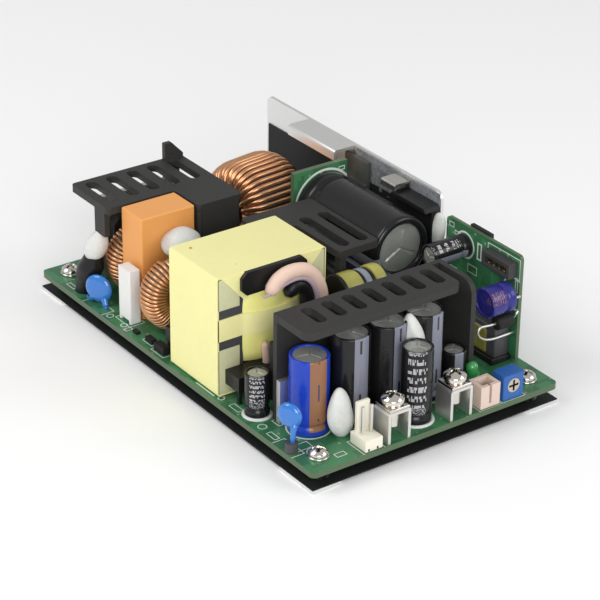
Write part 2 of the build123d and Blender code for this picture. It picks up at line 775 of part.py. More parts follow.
def core_half(plate_z, window_z, label):
    """A plate with a round centre post and two legs hollowed to the winding."""
    with BuildPart() as half:
        with BuildSketch(Plane.XY.offset(min(plate_z))):
            with Locations((transformer_x, transformer_y)):
                Rectangle(core_width, core_length)
        extrude(amount=abs(plate_z[1] - plate_z[0]))
        with BuildSketch(Plane.XY.offset(min(window_z))):
            with Locations((transformer_x, transformer_y)):
                Rectangle(core_width, core_length)
                Circle(core_window_radius, mode=Mode.SUBTRACT)
                Circle(core_post_radius)
        extrude(amount=abs(window_z[1] - window_z[0]))
    save(half.part, label)


core_half((core_low, window_low), (window_low, core_mid), "transformer_core_lower")
core_half((window_high, core_high), (core_mid, window_high), "transformer_core_upper")

# Bobbin: barrel, eight-sided flanges, upper hood and the pin rails at both ends
with BuildPart() as transformer_bobbin:
    barrel_inner = core_post_radius + post_gap
    barrel_outer = barrel_inner + bobbin_wall
    with BuildSketch(Plane.XY.offset(window_low)):
        with Locations((transformer_x, transformer_y)):
            Circle(barrel_outer)
            Circle(barrel_inner, mode=Mode.SUBTRACT)
    extrude(amount=window_high - window_low)
    for flange_z, thickness in ((window_low, lower_flange_t), (window_high - flange_t, flange_t)):
        with BuildSketch(Plane.XY.offset(flange_z)):
            with Locations((transformer_x, transformer_y)):
                RegularPolygon(core_half_width + flap_t + hood_t, 8, major_radius=False, rotation=22.5)
                Circle(barrel_inner, mode=Mode.SUBTRACT)
        extrude(amount=thickness)
    hood_x = transformer_x + core_half_width + flap_t
    with BuildSketch(Plane.YZ.offset(hood_x)) as hood:
        with Locations((transformer_y, window_high - flange_t)):
            Rectangle(hood_width, core_high + tape_t - window_high + flange_t,
                      align=(Align.CENTER, Align.MIN))
        chamfer(hood.vertices(), hood_corner)
    extrude(amount=hood_t)
    rail_low, rail_high = above(rail_height[0]), above(rail_height[1])
    rail_span = (transformer_y - rail_length / 2, transformer_y + rail_length / 2)
    rail_pin_pitch = (rail_length - 2 * rail_pin_inset) / (rail_pin_count - 1)
    reach = core_half_width + flap_t
    block((transformer_x + reach, transformer_x + reach + rail_reach), rail_span, (rail_low, rail_high))
    block((transformer_x - reach - rail_reach, transformer_x - reach), rail_span, (rail_low, rail_high))
    for side in (-1, 1):
        web = sorted((transformer_x + side * reach, transformer_x + side * (reach + flange_t)))
        block(web, (transformer_y - core_window_radius / 2, transformer_y + core_window_radius / 2),
              (board_top, window_low + flange_t))
        pin_x = transformer_x + side * (reach + rail_reach - rail_pin_inset)
        for place in range(rail_pin_count):
            pin_y = rail_span[0] + rail_pin_inset + rail_pin_pitch * place
            block((pin_x - rail_pin / 2, pin_x + rail_pin / 2), (pin_y - rail_pin / 2, pin_y + rail_pin / 2),
                  (board_top, rail_low))
transformer_bobbin.part.label = "transformer_bobbin"
export_step(transformer_bobbin.part, "parts/transformer_bobbin.step")

# Winding between the flanges
with BuildPart() as transformer_winding:
    with BuildSketch(Plane.XY.offset(window_low + lower_flange_t)):
        with Locations((transformer_x, transformer_y)):
            Circle(winding_radius)
            Circle(barrel_outer, mode=Mode.SUBTRACT)
    extrude(amount=window_high - flange_t - window_low - lower_flange_t)
transformer_winding.part.label = "transformer_winding"
export_step(transformer_winding.part, "parts/transformer_winding.step")

# Pale tape: a band over both ends and the top, folded flaps, and a belt round the middle
with BuildPart() as transformer_wrap:
    core_x = (transformer_x - core_half_width, transformer_x + core_half_width)
    core_y = (transformer_y - core_half_length, transformer_y + core_half_length)
    tape_y = (core_y[0] - tape_t, core_y[1] + tape_t)
    block(core_x, tape_y, (core_low - tape_t, core_high + tape_t))
    block(core_x, core_y, (core_low, core_high), mode=Mode.SUBTRACT)
    flap_x = ((core_x[0] - flap_t, core_x[0]), (core_x[1], core_x[1] + flap_t))
    for face_x in flap_x:
        for low_flap, high_flap in ((core_low - tape_t, above(flap_gap_low[0])),
                                    (above(flap_gap_low[1]), above(flap_gap_high[0])),
                                    (above(flap_gap_high[1]), core_high + tape_t)):
            block(face_x, (tape_y[0], tape_y[0] + flap_width), (low_flap, high_flap))
            block(face_x, (tape_y[1] - flap_width, tape_y[1]), (low_flap, high_flap))
    belt_z = (above(flap_gap_low[1]), above(flap_gap_high[0]))
    with BuildSketch(Plane.XY.offset(belt_z[0])) as belt_outline:
        with Locations((transformer_x, transformer_y)):
            Circle(winding_radius + tape_t)
            Rectangle(core_width + 2 * flap_t, core_length + 2 * tape_t - 2 * flap_width)
        make_hull()
        with Locations((transformer_x, transformer_y)):
            Circle(winding_radius, mode=Mode.SUBTRACT)
            Rectangle(core_width, core_length, mode=Mode.SUBTRACT)
            Rectangle(2 * core_width, core_length + 2 * tape_t - 2 * flap_width, mode=Mode.INTERSECT)
    extrude(amount=belt_z[1] - belt_z[0])
transformer_wrap.part.label = "transformer_wrap"
export_step(transformer_wrap.part, "parts/transformer_wrap.step")

# Sleeved lead-outs that arch from under the hood down towards the rectifiers
with BuildPart() as transformer_leads:
    lead_x = hood_x + hood_t + sleeve_radius + post_gap
    start, crest, landing = [(lead_x, y, above(z)) for y, z in sleeve_points]
    with BuildLine() as arch:
        curve = ThreePointArc(start, crest, landing, mode=Mode.PRIVATE)
        bends = [curve @ (bend / sleeve_bends) for bend in range(sleeve_bends + 1)]
        Polyline(*bends, (lead_x, sleeve_points[2][0], above(rail_height[1] + sleeve_foot)))
    with BuildSketch(Plane(origin=start, z_dir=bends[1] - bends[0])):
        Circle(sleeve_radius)
    sweep(path=arch.line, transition=Transition.RIGHT)
transformer_leads.part.label = "transformer_leads"
export_step(transformer_leads.part, "parts/transformer_leads.step")

# Taped resonant inductor: a drum lying along Y between two cheeks, on a solid base
with BuildPart() as resonant_inductor:
    block(resonant_x, (resonant_y[0], resonant_y[0] + resonant_cheek_t), (board_top, above(resonant_height)))
    block(resonant_x, (resonant_y[1] - resonant_cheek_t, resonant_y[1]), (board_top, above(resonant_height)))
    chamfer(resonant_inductor.edges().filter_by(Axis.Y).group_by(Axis.Z)[-1], resonant_cheek_t)
    block(resonant_x, resonant_y, (board_top, above(resonant_base)))
    drum_height = above(resonant_height - resonant_radius)
    with BuildSketch(upright(middle(resonant_x), resonant_y[1], drum_height)):
        Circle(resonant_radius)
    extrude(amount=resonant_y[1] - resonant_y[0])
resonant_inductor.part.label = "resonant_inductor"
export_step(resonant_inductor.part, "parts/resonant_inductor.step")


def leaded_device(x, y, z, tab_t, tab_height, lead_x, label):
    """A power device standing against its heatsink: body, metal tab above it, three leads."""
    with BuildPart() as device:
        block(x, (y[0], y[1]), (z[0], z[1] - tab_height))
        block(x, (y[1] - tab_t, y[1]), (z[0], z[1]))
        for lead in (-1, 0, 1):
            flat_lead(lead_x + lead * device_lead_pitch / 2, middle(y), (board_top, z[0]))
    save(device.part, label)


leaded_device(transistor_x, (insulator_face - transistor_t, insulator_face),
              (above(transistor_height[0]), above(transistor_height[1])), transistor_tab_t,
              transistor_tab_height, middle(transistor_x), "power_transistor")

# Second device in a black insulating boot
with BuildPart() as device_boot:
    boot_y = (insulator_face - boot_t, insulator_face)
    block(boot_x, boot_y, (above(boot_height[0]), above(boot_height[1])))
    block(boot_x, (insulator_face - boot_hood_t, insulator_face), (above(boot_hood_height), above(boot_height[1])))
    chamfer(device_boot.edges().filter_by(Axis.Y).group_by(Axis.Z)[-1], boot_corner)
    for lead in (-1, 0, 1):
        flat_lead(middle(boot_x) + lead * device_lead_pitch, middle(boot_y),
                  (board_top, above(boot_height[0])))
device_boot.part.label = "device_boot"
export_step(device_boot.part, "parts/device_boot.step")

# Spring clip on the wall above the boot
with BuildPart() as spring_clip:
    clip_top = wall_top - clip_below_top
    clip_front = wall_inner - clip_reach
    block(clip_x, (clip_front, wall_inner), (clip_top - clip_t, clip_top))
    block(clip_x, (clip_front, clip_front + clip_t), (clip_top - clip_lip, clip_top))
    block(clip_x, (wall_inner - clip_t, wall_inner), (clip_top - clip_tail, clip_top))
    fillet(spring_clip.edges().filter_by(Axis.X).group_by(Axis.Z)[-1].sort_by(Axis.Y)[0], clip_t)
spring_clip.part.label = "spring_clip"
export_step(spring_clip.part, "parts/spring_clip.step")

# Output heatsink inside the back wall of the output cover, rectifiers on the other side
with BuildPart() as output_heatsink:
    sink_x = output_cover_x[0] + cover_wall_t
    block((sink_x, sink_x + output_heatsink_t), (output_cover_y[0], end_wall_y),
          (board_top, above(output_heatsink_height)))
output_heatsink.part.label = "output_heatsink"
export_step(output_heatsink.part, "parts/output_heatsink.step")

with BuildPart() as output_rectifiers:
    rectifier_x = (output_cover_x[0] - rectifier_t, output_cover_x[0])
    for y in rectifier_y:
        span = (y - rectifier_width / 2, y + rectifier_width / 2)
        block(rectifier_x, span, (above(rectifier_height[0]), above(rectifier_height[1])))
        for lead in (-1, 0, 1):
            flat_lead(middle(rectifier_x), y + lead * device_lead_pitch / 2,
                      (board_top, above(rectifier_height[0])))
output_rectifiers.part.label = "output_rectifiers"
export_step(output_rectifiers.part, "parts/output_rectifiers.step")

# Output terminals: tin brackets bent like an upturned U, each with washer and screw
with BuildPart() as terminal_brackets:
    for y in terminal_y:
        outside = (y - terminal_width / 2, y + terminal_width / 2)
        inside = (outside[0] + terminal_metal, outside[1] - terminal_metal)
        block(terminal_x, outside, (board_top, above(terminal_height)))
        block(terminal_x, inside, (board_top, above(terminal_height - terminal_metal)), mode=Mode.SUBTRACT)
        pin(middle(terminal_x), y, (board_top, above(terminal_height)), terminal_shank_radius + fit_gap,
            mode=Mode.SUBTRACT)
    fillet(terminal_brackets.edges().filter_by(Axis.X).group_by(Axis.Z)[-1], terminal_bend)
terminal_brackets.part.label = "terminal_brackets"
export_step(terminal_brackets.part, "parts/terminal_brackets.step")

with BuildPart() as terminal_screws:
    for y in terminal_y:
        seat = terminal_height
        with BuildSketch(Plane.XY.offset(above(seat))):
            with Locations((middle(terminal_x), y)):
                Rectangle(terminal_washer, terminal_washer)
        extrude(amount=terminal_washer_t)
        pin(middle(terminal_x), y, (above(seat - terminal_shank_length), above(seat)), terminal_shank_radius)
        pin(middle(terminal_x), y, (above(seat + terminal_washer_t),
            above(seat + 2 * terminal_washer_t)), lock_washer_radius)
        pin(middle(terminal_x), y, (above(seat + 2 * terminal_washer_t),
            above(seat + 2 * terminal_washer_t + terminal_screw_head)), terminal_screw_radius)
    chamfer(terminal_screws.edges().filter_by(GeomType.CIRCLE).group_by(Axis.Z)[-1], terminal_screw_ease)
terminal_screws.part.label = "terminal_screws"
export_step(terminal_screws.part, "parts/terminal_screws.step")

# Blue trimmer with a recess and bore for its rotor, which faces +X
rotor_axis = Plane(origin=(trimmer_x[1], middle(trimmer_y), above(trimmer_axis_height)),
                   x_dir=(0, 1, 0), z_dir=(1, 0, 0))
with BuildPart() as trimmer_body:
    block(trimmer_x, trimmer_y, (board_top, above(trimmer_height)))
    chamfer(trimmer_body.edges().filter_by(Axis.Z), trimmer_ease)
    with BuildSketch(rotor_axis):
        Circle(rotor_radius + rotor_gap)
    extrude(amount=-rotor_depth, mode=Mode.SUBTRACT)
    with BuildSketch(rotor_axis):
        Circle(rotor_shaft_radius + rotor_gap)
    extrude(amount=-rotor_depth - rotor_shaft_depth, mode=Mode.SUBTRACT)
trimmer_body.part.label = "trimmer_body"
export_step(trimmer_body.part, "parts/trimmer_body.step")

with BuildPart() as trimmer_rotor:
    with BuildSketch(rotor_axis):
        Circle(rotor_radius)
    extrude(amount=-rotor_depth + rotor_gap)
    with BuildSketch(rotor_axis):
        Circle(rotor_shaft_radius)
    extrude(amount=-rotor_depth - rotor_shaft_depth + rotor_gap)
    with BuildSketch(rotor_axis):
        Rectangle(rotor_slot_length, rotor_slot)
        Rectangle(rotor_slot, rotor_slot_length)
    extrude(amount=-rotor_depth / 2, mode=Mode.SUBTRACT)
trimmer_rotor.part.label = "trimmer_rotor"
export_step(trimmer_rotor.part, "parts/trimmer_rotor.step")

# Green indicator
with BuildPart() as status_led:
    with BuildSketch(upright(led_place[0], led_place[1], board_top)):
        with BuildLine():
            Polyline((0, led_height - led_radius), (0, 0), (led_radius + led_flange, 0),
                     (led_radius + led_flange, led_radius / 2), (led_radius, led_radius / 2),
                     (led_radius, led_height - led_radius))
            RadiusArc((led_radius, led_height - led_radius), (0, led_height), -led_radius)
            Line((0, led_height), (0, led_height - led_radius))
        make_face()
    revolve(axis=Axis((led_place[0], led_place[1], 0), (0, 0, 1)))
status_led.part.label = "status_led"
export_step(status_led.part, "parts/status_led.step")

# Control board with its front corner cut
with BuildPart() as control_board:
    with BuildSketch(upright(control_x[0], control_face + control_t, board_top)) as control_outline:
        Rectangle(control_x[1] - control_x[0], control_height, align=(Align.MIN, Align.MIN))
        fillet(control_outline.vertices().group_by(Axis.Y)[-1], control_corner)
    extrude(amount=control_t)
control_board.part.label = "control_board"
export_step(control_board.part, "parts/control_board.step")

# Black socket on the front of the control board
with BuildPart() as control_header:
    header_y = (control_face - control_header_depth, control_face)
    header_z = (above(control_header_z[0]), above(control_header_z[1]))
    block(control_header_x, header_y, header_z)
    block((control_header_x[0] + header_wall, control_header_x[1] - header_wall),
          (header_y[0], header_y[1] - header_wall), (header_z[0] + header_wall, header_z[1] - header_wall),
          mode=Mode.SUBTRACT)
control_header.part.label = "control_header"
export_step(control_header.part, "parts/control_header.step")

# Capacitors that point forward from the control board, the violet one on free leads
for label, (x, height, radius, reach_out), gap in (("control_capacitor_grey", grey_capacitor, 0),
                                                   ("control_capacitor_violet", violet_capacitor,
                                                    violet_lead_gap)):
    forward = Plane(origin=(x, control_face - gap, above(height)), x_dir=(0, 0, 1), z_dir=(1, 0, 0))
    sleeved_can(forward, radius, reach_out - gap, radius - can_lip, can_groove_height, can_groove_depth, label,
                gap)

# Diode across the control board on two looped leads
with BuildPart() as control_diode:
    diode_y = control_face - diode_gap - diode_length
    with BuildSketch(upright(diode_place[0], diode_y + diode_length, above(diode_place[1]))):
        Circle(diode_radius)
    extrude(amount=diode_length)
    with BuildSketch(upright(diode_place[0], control_face, above(diode_place[1]))):
        Circle(diode_wire)
    extrude(amount=diode_gap)
control_diode.part.label = "control_diode"
export_step(control_diode.part, "parts/control_diode.step")

# Taped auxiliary transformer in front of the control board
with BuildPart() as auxiliary_transformer:
    block(auxiliary_x, auxiliary_y, (board_top, above(auxiliary_height)))
    fillet(auxiliary_transformer.edges().filter_by(Axis.Z), auxiliary_edge_radius)
auxiliary_transformer.part.label = "auxiliary_transformer"
export_step(auxiliary_transformer.part, "parts/auxiliary_transformer.step")


def disc_capacitor(place, radius, height, thickness, label):
    """A dipped disc standing on two leads that join its lower edge."""
    with BuildPart() as disc:
        with BuildSketch(upright(place[0], place[1] + thickness / 2, above(height))):
            Circle(radius)
        extrude(amount=thickness)
        chamfer(disc.edges().filter_by(GeomType.CIRCLE), disc_edge)
        for side in (-1, 1):
            pin(place[0] + side * radius / 2, place[1], (board_top, above(height - radius / 2)),
                disc_lead_radius)
    save(disc.part, label)


disc_capacitor(disc_left, disc_left_radius, disc_left_height, disc_t, "disc_capacitor_left")
disc_capacitor(disc_front, disc_front_radius, disc_front_height, disc_front_t, "disc_capacitor_front")

# Ferrite bead round one lead of the front disc
with BuildPart() as lead_bead:
    bead_x = disc_front[0] + disc_front_radius / 2
    pin(bead_x, disc_front[1], (board_top, above(bead_height)), bead_radius)
    pin(bead_x, disc_front[1], (board_top, above(bead_height)), disc_lead_radius + fit_gap, mode=Mode.SUBTRACT)
lead_bead.part.label = "lead_bead"
export_step(lead_bead.part, "parts/lead_bead.step")

# Surface-mounted parts on the main board and on the back of the control board
with BuildPart() as chip_parts:
    chip_back = (control_face + control_t, half_width)
    for chip_x, chip_heights in control_chip_places:
        block(chip_x, chip_back, (above(chip_heights[0]), above(chip_heights[1])))
    for chip_x, chip_y, chip_height in chip_places:
        block(chip_x, chip_y, (board_top, above(chip_height)))
chip_parts.part.label = "chip_parts"
export_step(chip_parts.part, "parts/chip_parts.step")
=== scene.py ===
import math

import bmesh
import bpy
import numpy as np
from mathutils import Matrix, Vector


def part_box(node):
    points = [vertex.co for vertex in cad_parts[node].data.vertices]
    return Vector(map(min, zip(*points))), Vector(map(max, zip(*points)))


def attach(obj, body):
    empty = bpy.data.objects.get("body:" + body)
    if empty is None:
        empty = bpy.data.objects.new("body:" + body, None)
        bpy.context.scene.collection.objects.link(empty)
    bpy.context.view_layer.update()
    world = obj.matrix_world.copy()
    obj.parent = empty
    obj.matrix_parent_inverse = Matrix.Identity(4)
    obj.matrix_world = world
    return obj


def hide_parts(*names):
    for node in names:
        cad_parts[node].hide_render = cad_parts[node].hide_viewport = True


bl_info = {
    "name": "Open Frame Power Supply",
    "version": (1, 0, 0),
    "blender": (4, 5, 0),
    "location": "3D View > Sidebar > Power Supply",
    "description": "Dresses the packed power supply with windings, cans, tape, covers and a stage",
    "category": "Object",
}

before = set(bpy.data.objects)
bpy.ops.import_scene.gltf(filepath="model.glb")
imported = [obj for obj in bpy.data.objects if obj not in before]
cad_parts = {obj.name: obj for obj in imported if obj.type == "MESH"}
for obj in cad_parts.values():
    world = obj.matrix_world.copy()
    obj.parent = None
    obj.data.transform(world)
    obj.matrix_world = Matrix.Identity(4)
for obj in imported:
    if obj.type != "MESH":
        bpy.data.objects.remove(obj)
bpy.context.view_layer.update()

MM = 0.001
CHASSIS = "chassis"
SURFACE = "surface"
X, Y, Z = (1, 0, 0), (0, 1, 0), (0, 0, 1)
TURN = 1 / 360  # of a full turn, in one degree
MERGE = 2e-7  # vertices closer than this, in metres, become one
WIRE_STEPS = 36  # places along one turn of wire
SECTION_STEPS = 160  # places round the section that a wire follows


# Sizes and colours that a user would change


def in_mm(description, value):
    """A size, given in millimetres and kept in metres."""
    return bpy.props.FloatProperty(description=description, default=value * MM, min=0.0, unit="LENGTH")


def rgb(description, value):
    """A colour with its three parts from 0 to 1."""
    return bpy.props.FloatVectorProperty(description=description, default=value, min=0.0, max=1.0,
                                         subtype="COLOR")


def plain(description, value):
    """A plain number."""
    return bpy.props.FloatProperty(description=description, default=value)


class SupplyWindings(bpy.types.PropertyGroup):
    """Sizes of the three ring chokes."""
    line_wire: in_mm("Thickness of the line chokes' wire", 1.0)
    line_core_outer: in_mm("Outer radius of a line choke's core", 9.45)
    line_core_inner: in_mm("Bore radius of a line choke's core", 4.6)
    line_core_width: in_mm("Width of a line choke's core", 6.3)
    line_corner: in_mm("Radius in which the line wire bends", 2.2)
    boost_wire: in_mm("Thickness of the boost choke's wire", 1.35)
    boost_core_outer: in_mm("Outer radius of the boost choke's core", 12.2)
    boost_core_inner: in_mm("Bore radius of the boost choke's core", 6.0)
    boost_core_width: in_mm("Width of the boost choke's core", 17.5)
    boost_corner: in_mm("Radius in which the boost wire bends", 3.7)
    boost_turn: plain("Degrees that the boost choke's axis is turned about Z", 8.0)
    seat: in_mm("Gap under a standing choke", 0.1)


class SupplyCans(bpy.types.PropertyGroup):
    """Sizes shared by the electrolytic capacitors."""
    groove_height: in_mm("Height of the crimp above the foot", 2.6)
    groove_depth: in_mm("Depth of the crimp", 0.45)
    lip: in_mm("Width of the sleeve's rolled lip", 0.8)
    sink: in_mm("Depth of the end disc below the lip", 0.4)
    score: in_mm("Depth of the vent's scored lines", 0.14)


class SupplyFasteners(bpy.types.PropertyGroup):
    """Sizes of board and terminal screws."""
    board_head: in_mm("Radius of a board screw's head", 2.35)
    board_head_height: in_mm("Height of a board screw's head", 1.9)
    board_washer: in_mm("Radius of a board screw's washer", 2.7)
    board_washer_thickness: in_mm("Thickness of a board screw's washer", 0.6)
    board_seat: in_mm("Place of a board screw inside the outermost corner", 3.4)
    board_shank: in_mm("Radius of a board screw's shank", 1.5)
    terminal_head: in_mm("Radius of a terminal screw's head", 2.9)
    terminal_head_height: in_mm("Height of a terminal screw's head", 2.2)
    terminal_plate: in_mm("Width of the square washer", 6.0)
    terminal_washer_thickness: in_mm("Thickness of both washers", 0.8)
    terminal_lock_washer: in_mm("Radius of the split washer", 2.45)
    terminal_shank: in_mm("Radius of a terminal screw's shank", 1.6)
    recess: in_mm("Depth of the cross recess", 1.1)


class SupplyTape(bpy.types.PropertyGroup):
    """Sizes of the tape round the transformer."""
    thickness: in_mm("Thickness of the band over the ends and top", 0.5)
    flap: in_mm("Thickness of a flap folded onto the core's side", 0.3)
    flap_width: in_mm("How far a flap reaches in from the end", 6.2)
    edge: in_mm("Radius in which the tape bends round the core", 0.8)
    fold: in_mm("Size of the triangle folded under the top", 7.6)


class SupplyColours(bpy.types.PropertyGroup):
    """Colours of the visible finishes."""
    aluminium: rgb("Bracket and heatsinks", (0.78, 0.78, 0.76))
    sheet: rgb("Insulating sheet", (0.012, 0.012, 0.013))
    board: rgb("Solder mask", (0.050, 0.205, 0.088))
    board_edge: rgb("Cut edge of the boards", (0.075, 0.125, 0.060))
    print_white: rgb("White marking of the boards", (0.72, 0.74, 0.70))
    cover: rgb("Moulded covers", (0.033, 0.032, 0.031))
    orange: rgb("Film capacitor", (0.82, 0.36, 0.10))
    ceramic: rgb("Ceramic resistor", (0.80, 0.80, 0.78))
    copper: rgb("Enamelled wire", (0.86, 0.39, 0.13))
    sleeve: rgb("Black sleeves", (0.010, 0.010, 0.011))
    sleeve_blue: rgb("Blue sleeve", (0.012, 0.050, 0.45))
    sleeve_violet: rgb("Violet sleeve", (0.028, 0.026, 0.20))
    stripe_grey: rgb("Polarity stripe of the black sleeves", (0.20, 0.21, 0.26))
    stripe_brown: rgb("Polarity stripe of the blue sleeve", (0.28, 0.13, 0.065))
    tape: rgb("Transformer tape", (0.86, 0.82, 0.38))
    tape_bright: rgb("Winding tape", (0.87, 0.81, 0.27))
    silicone: rgb("White silicone", (0.70, 0.71, 0.68))
    lead_sleeve: rgb("Sleeve of the lead-outs", (0.52, 0.30, 0.15))
    ivory: rgb("Ivory headers", (0.80, 0.76, 0.64))
    pink: rgb("Signal header", (0.68, 0.54, 0.46))
    trimmer: rgb("Trimmer body", (0.020, 0.110, 0.38))
    disc: rgb("Dipped discs", (0.020, 0.17, 0.56))
    led: rgb("Tinted lens", (0.07, 0.42, 0.12))
    floor: rgb("Studio floor", (0.96, 0.96, 0.96))


class SupplyStage(bpy.types.PropertyGroup):
    """The photograph's viewing angle and the lamps."""
    lens: plain("Focal length in millimetres on a 36 mm wide sensor", 139.05)
    azimuth: plain("Degrees round the object", 54.134)
    elevation: plain("Degrees above the floor", 27.828)
    roll: plain("Degrees that the camera leans", 0.7)
    key: plain("Power of the large lamp from the front left", 3.3)
    front: plain("Power of the lamp beside the camera", 4.2)
    fill: plain("Power of the soft lamp from the right", 2.0)
    sky: plain("Strength of the even light from all round", 0.52)


# Surfaces worked out as whole arrays


def unit(vectors):
    """Vectors divided by their lengths, along the last direction of the array."""
    vectors = np.asarray(vectors, float)
    return vectors / np.linalg.norm(vectors, axis=-1, keepdims=True)


def smooth_step(value):
    """3 v^2 - 2 v^3 for v held between 0 and 1."""
    value = np.clip(value, 0.0, 1.0)
    return value * value * (3 - 2 * value)


def grid_shape(points, close_rows=False, close_columns=False, material=0):
    """A grid of points as vertices, quads between neighbours, their (u, v) and a material number.

    u is the column and v the row, each divided by their number of steps. A closed direction
    joins its last line to its first.
    """
    rows, columns = points.shape[:2]
    row_steps = rows if close_rows else rows - 1
    column_steps = columns if close_columns else columns - 1
    i, j = np.meshgrid(np.arange(row_steps), np.arange(column_steps), indexing="ij")
    down, right = (i + 1) % rows, (j + 1) % columns
    quads = np.stack([i * columns + j, i * columns + right, down * columns + right, down * columns + j], -1)
    u = np.stack([j, j + 1, j + 1, j], -1) / column_steps
    v = np.stack([i, i, i + 1, i + 1], -1) / row_steps
    return points.reshape(-1, 3), quads.reshape(-1, 4), np.stack([u, v], -1).reshape(-1, 2), material


def turned(profile, foot, axis, start, segments=48, material=0):
    """A profile of (radius r, height h) carried round an axis.

    Each point is foot + h * axis + r * (cos t * start + sin t * side), with t from 0 to a full
    turn and side square to axis and start.
    """
    profile = np.asarray(profile, float)
    axis, start = unit(axis), unit(start)
    side = np.cross(axis, start)
    t = np.linspace(0, 2 * np.pi, segments, endpoint=False)
    ring = np.cos(t)[:, None] * start + np.sin(t)[:, None] * side
    points = np.asarray(foot, float) + profile[:, 1, None, None] * axis + profile[:, 0, None, None] * ring
    return grid_shape(points, close_columns=True, material=material)


def tube(path, radius, side, around=8, material=0):
    """A round wire along a path.

    Each point is p + r * (cos t * b + sin t * c): b is the side direction made square to the
    path, c is square to both. The ends are rounded over.
    """
    path = np.asarray(path, float)
    radius = np.broadcast_to(radius, len(path)).astype(float)
    side = np.broadcast_to(side, path.shape)
    tangent = unit(np.gradient(path, axis=0))
    reach = np.array([1.0, 0.7])[:, None]
    head = path[0] - reach * radius[0] * tangent[0]
    tail = path[-1] + reach[::-1] * radius[-1] * tangent[-1]
    path = np.vstack([head, path, tail])
    radius = np.concatenate([radius[0] * np.array([0, 0.7]), radius, radius[-1] * np.array([0.7, 0])])
    tangent, side = (np.vstack([rows[:1], rows[:1], rows, rows[-1:], rows[-1:]])
                     for rows in (tangent, side))
    b = unit(side - (side * tangent).sum(-1, keepdims=True) * tangent)
    c = np.cross(tangent, b)
    t = np.linspace(0, 2 * np.pi, around, endpoint=False)
    ring = np.cos(t)[None, :, None] * b[:, None] + np.sin(t)[None, :, None] * c[:, None]
    return grid_shape(path[:, None] + radius[:, None, None] * ring, close_columns=True, material=material)


def smooth_path(points, steps=10):
    """A curve through its points: on each span the cubic that meets both ends, with slopes of half
    the step from the point before to the point after."""
    p = np.asarray(points, float)
    p = np.vstack([2 * p[0] - p[1], p, 2 * p[-1] - p[-2]])
    a, b, c, d = p[:-3, None], p[1:-2, None], p[2:-1, None], p[3:, None]
    t = np.linspace(0, 1, steps, endpoint=False)[None, :, None]
    curve = 0.5 * (2 * b + (c - a) * t + (2 * a - 5 * b + 4 * c - d) * t ** 2
                   + (3 * b - a - 3 * c + d) * t ** 3)
    return np.vstack([curve.reshape(-1, 3), p[-2]])


def soft_block(low, high, radius, steps=3, material=0):
    """A box with its edges rounded.

    Each point is a corner of the box shrunk by the radius, plus the radius times a direction; the
    direction runs once round and from straight down to straight up.
    """
    low, high = np.asarray(low, float), np.asarray(high, float)
    radius = min(radius, (high - low).min() * 0.49)
    half = (high - low) / 2 - radius
    quarter = np.linspace(0, np.pi / 2, steps + 1)
    around = np.concatenate([quarter + k * np.pi / 2 for k in range(4)])
    upward = np.concatenate([quarter - np.pi / 2, quarter])
    a, e = np.meshgrid(around, upward)
    direction = np.stack([np.cos(e) * np.cos(a), np.cos(e) * np.sin(a), np.sin(e)], -1)
    quadrant = np.repeat(np.arange(4), steps + 1)
    corner = np.empty_like(direction)
    corner[..., 0] = np.array([1, -1, -1, 1])[quadrant] * half[0]
    corner[..., 1] = np.array([1, 1, -1, -1])[quadrant] * half[1]
    corner[..., 2] = (np.repeat([-1, 1], steps + 1) * half[2])[:, None]
    points = (low + high) / 2 + corner + radius * direction
    foot = np.broadcast_to(points[:1].mean(1, keepdims=True), points[:1].shape)
    top = np.broadcast_to(points[-1:].mean(1, keepdims=True), points[:1].shape)
    return grid_shape(np.concatenate([foot, points, top]), close_columns=True, material=material)


def post(x, y, half, low, high, radius, material=0):
    """An upright pin of square section about (x, y), with rounded edges."""
    return soft_block((x - half, y - half, low), (x + half, y + half, high), radius, material=material)


def band(outline, inward, low, high, axis):
    """A closed strip of tape: an outline and the same outline moved inward, carried between two
    places along an axis. The four rims are joined into one ring."""
    axis = np.asarray(axis, float)
    rims = [outline + low * axis, outline + high * axis, inward + high * axis, inward + low * axis]
    return grid_shape(np.stack(rims), close_rows=True, close_columns=True)


def puck(radius, thickness, edge):
    """Profile of a flat disc with its two edges cut off."""
    return [(0, 0), (radius - edge, 0), (radius, edge), (radius, thickness - edge),
            (radius - edge, thickness), (0, thickness)]


def plate(corners, thickness, normal):
    """A flat plate over a four-cornered outline: the outline, the outline lifted by the thickness
    along the normal, and their two middles."""
    corners = np.asarray(corners, float)
    lifted = corners + thickness * np.asarray(normal, float)
    ends = [np.broadcast_to(rim.mean(0), rim.shape) for rim in (corners, lifted)]
    return grid_shape(np.stack([ends[0], corners, lifted, ends[1]]), close_columns=True)


def blob(centre, radii, seed, lean=(0.0, 0.0), taper=0.0, material=0):
    """A lump of silicone: a ball drawn out by its three radii, its girth changed by low waves
    1 + 0.06 sin(3a + s) cos(2e) cos(e) + 0.04 sin(5a - 2s + 2e) cos(e)^2, drawn in towards its top
    by the taper and sheared over by its height."""
    e = np.linspace(-np.pi / 2, np.pi / 2, 24)[:, None]
    a = np.linspace(0, 2 * np.pi, 40, endpoint=False)[None, :]
    wave = 1 + 0.06 * np.sin(3 * a + seed) * np.cos(2 * e) * np.cos(e)
    wave = wave + 0.04 * np.sin(5 * a - 2 * seed + 2 * e) * np.cos(e) ** 2
    z = np.sin(e) + 0 * a
    girth = np.cos(e) * wave * (1 - taper * z)
    x, y = girth * np.cos(a), girth * np.sin(a)
    points = np.stack([x * radii[0] + z * lean[0], y * radii[1] + z * lean[1], z * radii[2]], -1)
    return grid_shape(np.asarray(centre, float) + points, close_columns=True, material=material)


